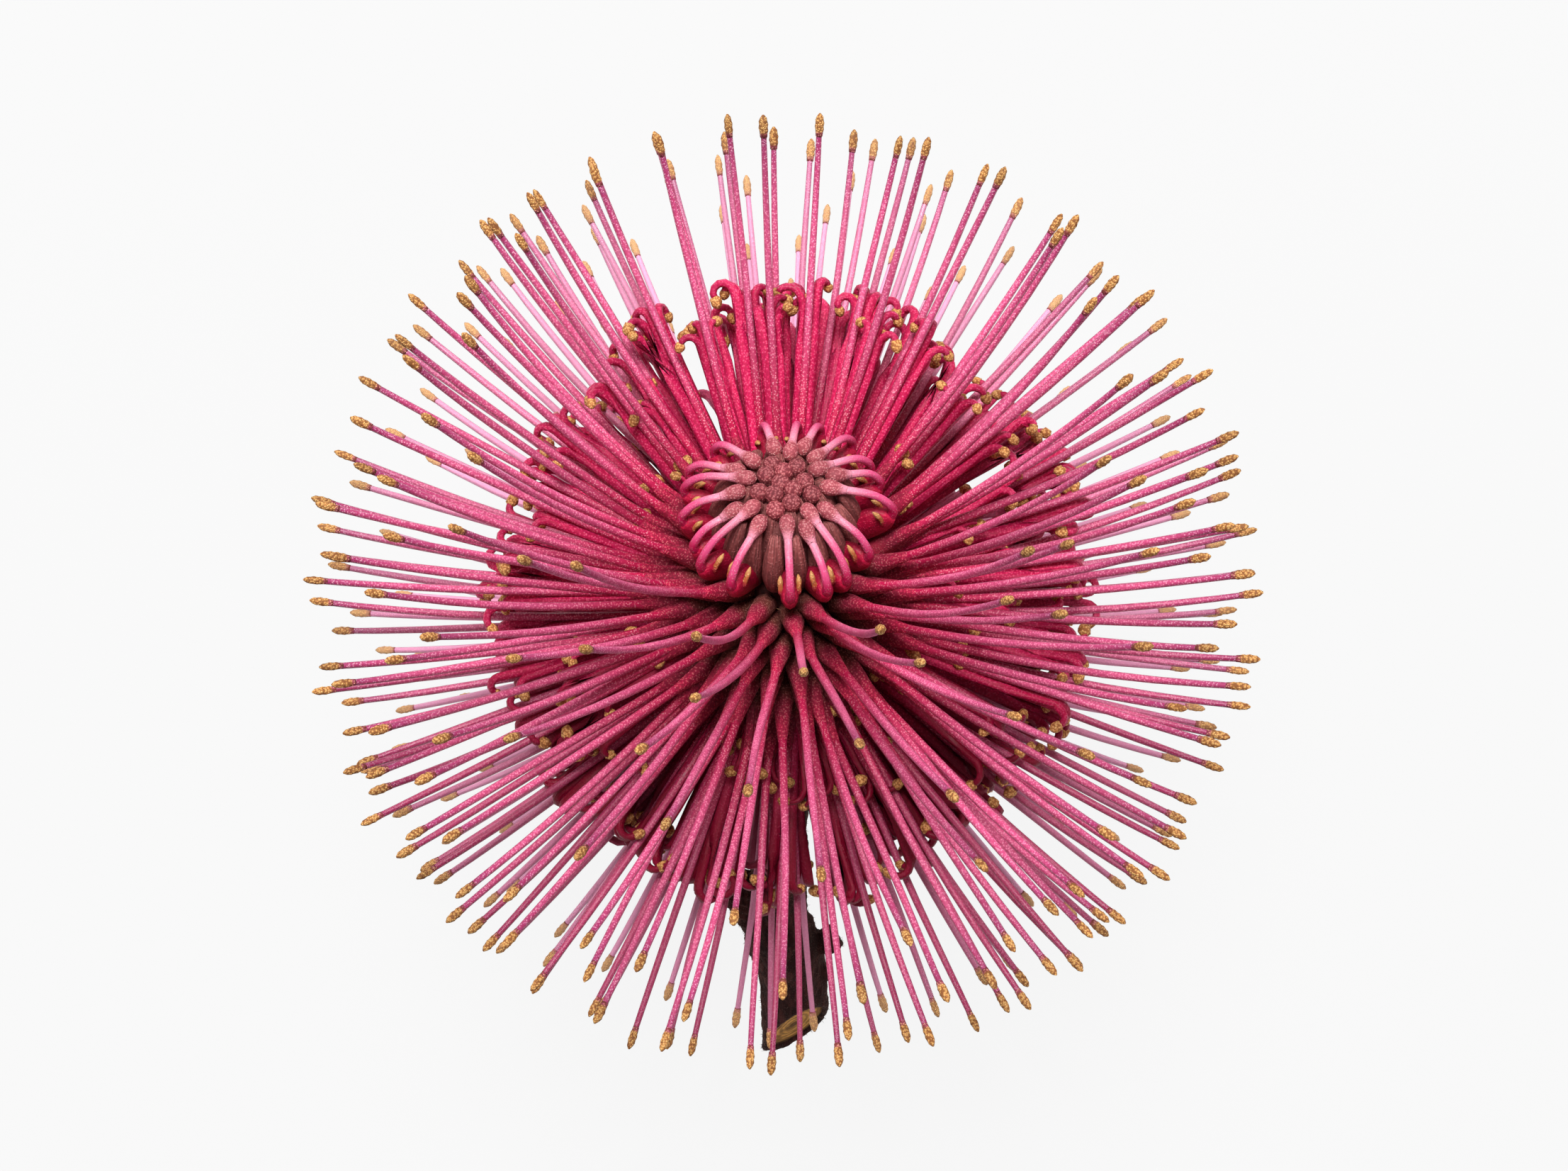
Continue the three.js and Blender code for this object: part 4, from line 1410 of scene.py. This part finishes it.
class ProteaSettings(bpy.types.PropertyGroup):
    """The sizes and colours of the flower"""

    style_width: size_property("Style width", 0.00109, 0.0008, 0.002, "Thickness of a style near its foot")
    tip_width: size_property("Tip width", 0.00095, 0.0006, 0.0014, "Thickness of a pollen-coated tip")
    lobe_width: size_property("Lobe width", 0.0015, 0.0006, 0.0018, "Width of one lobe of a perianth")
    hair_length: size_property("Hair length", 0.00045, 0.0001, 0.001, "Length of the hairs on the stem")
    style_foot: colour_property("Style foot", "c4144a", "Colour of a style near its foot")
    style_middle: colour_property("Style middle", "da5c8c", "Colour of a style at half its length")
    style_end: colour_property("Style end", "802a60", "Colour of a style below its tip")
    perianth: colour_property("Perianth", "d6225e", "Colour of the rolled-back perianths")
    pollen: colour_property("Pollen", "cc9656", "Colour of the pollen on the tips and the anthers")
    bud: colour_property("Bud", "a84a50", "Colour of the closed buds")
    bowed: colour_property("Bowed style", "dc8ca0", "Colour of a bowed style next to its bud")
    sheath: colour_property("Sheath", "a00a32", "Colour of the split sheaths round the buds")
    bark: colour_property("Bark", "2c100e", "Colour of the stem's bark")
    wood: colour_property("Wood", "dc9e52", "Colour of the stem's cut end")


class PROTEA_OT_florets(bpy.types.Operator):
    """Builds the open florets: styles, pollen-coated tips, collars, perianths and anthers"""

    bl_idname = "protea.florets"
    bl_label = "Open florets"

    def execute(self, context):
        look = context.scene.protea
        # In each tissue below, the colour for the gaps between granules is painted shade, and the pale dots
        # are partly a painted highlight
        make_receptacle(tissue(
            "receptacle down", [paint("3a1614"), paint("4a1a18"), paint("4a1a18")],
            grain=1800, hollow_shade=("1c0808", 0.6), rough=0.8, glow=0,
        ))
        make_styles(tissue(
            "style", [look.style_foot, look.style_middle, look.style_end], (0.24, 0.56, 0.6, 0.97),
            # The style's pale dots are partly a painted highlight, and the dark in the gaps between its
            # granules is painted shade
            grain=4000, dots=("ffc0cc", 0.5), hollow_shade=("900838", 0.45), lines=(3, 6, 0.12),
            # deep is painted shade on the stem's side of the head, and sides is painted shade towards both
            # sides of each style
            faded=("eeaacb", 0.85), deep=("901844", 0.6), eased=(0.2, 0.6), sides=("8a083c", 0.42),
            variety=(0.84, 1.18), rough=0.45, gloss=0.5,
        ))
        make_tips(tissue(
            "pollen", [paint("a8486a"), look.pollen, look.pollen], (0.1, 0.26, 0.5, 1),
            grain=3700, dots=("f2c684", 0.6), hollow_shade=("6c3818", 0.85), lines=(1, 1, 0),
            faded=("dfb184", 0.6), variety=(0.75, 1.1), rough=0.75, bumps=(1.6, 0),
        ))
        make_collars(tissue(
            "collar down", [paint("74382c"), paint("a41a40"), look.style_foot], (0.36, 0.56, 0.58, 0.86),
            grain=3600, dots=("e8a89c", 0.34), hollow_shade=("38100c", 0.5), lines=(5, 3, 0.3),
            deep=("a81a3c", 0.85), eased=(0.6, 0.34), variety=(0.75, 1.12), rough=0.75,
            bumps=(1.0, 0.5), glow=0.03,
        ))
        make_perianths(
            tissue(
                "perianth", [paint("b20a3c"), look.perianth, paint("cc2a60")], (0.0, 0.2, 0.5, 0.8),
                # The lobes' pale dots are partly a painted highlight, and the dark in the gaps between their
                # granules is painted shade
                grain=3600, dots=("f490a8", 0.36), hollow_shade=("8a0024", 0.5), lines=(5, 4, 0.3),
                # deep is painted shade on florets that face the sky or lie on the stem's side, and sides is
                # painted shade towards both sides of each lobe
                faded=("dc7ca0", 0.4), deep=("6a0018", 0.9), eased=(0.1, 0.4), sides=("8a0432", 0.5),
                variety=(0.75, 1.2), bumps=(0.5, 0.6), gloss=0.2,
            ),
            tissue(
                "anther", [look.pollen, paint("dfa25e"), look.pollen], (0.0, 0.3, 0.7, 1),
                grain=3700, dots=("f4ca90", 0.6), hollow_shade=("7c3c1c", 0.8), lines=(1, 1, 0),
                variety=(0.75, 1.15), rough=0.75, bumps=(1.6, 0),
            ),
        )
        return {"FINISHED"}


class PROTEA_OT_dome(bpy.types.Operator):
    """Builds the unopened middle: closed buds, their flanks, the bowed styles and their split sheaths"""

    bl_idname = "protea.dome"
    bl_label = "Bud dome"

    def execute(self, context):
        look = context.scene.protea
        # In each tissue below, the colour for the gaps between granules is painted shade, and the pale dots
        # are partly a painted highlight
        make_buds(tissue(
            "bud down", [paint("3a1216"), look.bud, paint("ac565c")], (0.45, 0.8, 0.85, 1),
            grain=3600, dots=("e0a09c", 0.4), hollow_shade=("5c1420", 0.85), lines=(5, 4, 0.1),
            variety=(0.75, 1.1), rough=0.75, bumps=(1.5, 0.2), glow=0.03,
        ))
        make_held_tips(tissue(
            "held tip down", [paint("a04c50"), paint("b86068"), look.bowed], (0.0, 0.3, 0.62, 0.97),
            grain=3600, dots=("eab0ae", 0.45), hollow_shade=("74202e", 0.7), lines=(5, 4, 0.1),
            variety=(0.85, 1.1), rough=0.7, bumps=(1.5, 0.2), glow=0.03, calm=(0.6, 0.9),
        ))
        make_flanks(tissue(
            "bud side", [paint("4a1a1c"), paint("904a48"), paint("9a5452")], (0.0, 0.45, 0.7, 1),
            dots=("c88a8a", 0.25), hollow_shade=("6c2a30", 0.35), lines=(9, 3, 0.6),
            variety=(0.8, 1.1), rough=0.75, bumps=(0.5, 1.5), glow=0.03,
        ))
        make_bowed_styles(tissue(
            "bowed style", [look.bowed, paint("cc4c7a"), paint("a40a40")], (0.0, 0.26, 0.3, 0.52),
            grain=4000, dots=("ffd0dc", 0.15), hollow_shade=("b82860", 0.15), lines=(3, 5, 0.08),
            variety=(0.92, 1.08), rough=0.4, glow=0.12,
        ))
        make_sheaths(tissue(
            "split sheath", [paint("b80c3c"), look.sheath, paint("6c0420")], (0.0, 0.3, 0.5, 1),
            grain=3600, dots=("d84a6a", 0.2), hollow_shade=("600418", 0.3), lines=(5, 4, 0.25),
            variety=(0.85, 1.1), bumps=(0.5, 0.6),
        ))
        make_sheath_lobes(tissue(
            "sheath lobe", [look.sheath, paint("b4683c"), paint("c8965e")], (0.22, 0.42, 0.5, 0.85),
            grain=3600, dots=("f8d090", 0.25), hollow_shade=("a04018", 0.35), lines=(5, 3, 0.2),
            variety=(0.85, 1.1), rough=0.6, bumps=(0.9, 0.3),
        ))
        make_chaff(tissue(
            "chaff", [paint("8a5a44"), paint("c0906a"), paint("d2aa80")], (0.0, 0.4, 0.6, 1),
            lines=(2, 2, 0), variety=(0.7, 1.1), rough=0.6,
        ))
        return {"FINISHED"}


class PROTEA_OT_stem(bpy.types.Operator):
    """Builds the stem with its bark, cut end, hairs and bracts"""

    bl_idname = "protea.stem"
    bl_label = "Stem"

    def execute(self, context):
        look = context.scene.protea
        make_stem(
            bark_material("bark", look.bark, paint("4a2622")),
            wood_material("cut wood", look.wood),
            tissue(
                "stem hair", [paint("3c241e"), paint("6a5044"), paint("8a7464")], (0.0, 0.4, 0.6, 1),
                lines=(1, 1, 0), rough=0.8,
            ),
        )
        # The bract's pale dots are partly a painted highlight on its granules
        make_bracts(tissue(
            "bract", [paint("4a2a22"), paint("7a4a3a"), paint("5a2a28")], (0.0, 0.4, 0.6, 1),
            dots=("b08a70", 0.3), lines=(8, 2, 0.4), rough=0.8, bumps=(0.6, 0.8), glow=0.03,
        ))
        return {"FINISHED"}


class PROTEA_OT_stage(bpy.types.Operator):
    """Builds the floor, the lights and the camera"""

    bl_idname = "protea.stage"
    bl_label = "Stage"

    def execute(self, context):
        make_floor()
        make_lights()
        make_camera()
        return {"FINISHED"}


class PROTEA_PT_panel(bpy.types.Panel):
    """Lists the sizes and colours, and the operators that build the pieces"""

    bl_idname = "PROTEA_PT_panel"
    bl_label = "Pincushion Protea"
    bl_space_type = "VIEW_3D"
    bl_region_type = "UI"
    bl_category = "Protea"

    def draw(self, context):
        for name in ProteaSettings.__annotations__:
            self.layout.prop(context.scene.protea, name)
        for operator in OPERATORS:
            self.layout.operator(operator.bl_idname)


OPERATORS = (PROTEA_OT_florets, PROTEA_OT_dome, PROTEA_OT_stem, PROTEA_OT_stage)
CLASSES = (ProteaSettings, *OPERATORS, PROTEA_PT_panel)
GROUPS = (graded_group, granule_group, fibre_group, variety_group, side_shade_group)


def register():
    for made in CLASSES:
        bpy.utils.register_class(made)
    bpy.types.Scene.protea = PointerProperty(type=ProteaSettings)


def unregister():
    del bpy.types.Scene.protea
    for made in reversed(CLASSES):
        bpy.utils.unregister_class(made)


def main():
    register()
    for build_group in GROUPS:
        build_group()
    for operator in OPERATORS:
        section, name = operator.bl_idname.split(".")
        getattr(getattr(bpy.ops, section), name)()


if __name__ == "__main__":
    main()
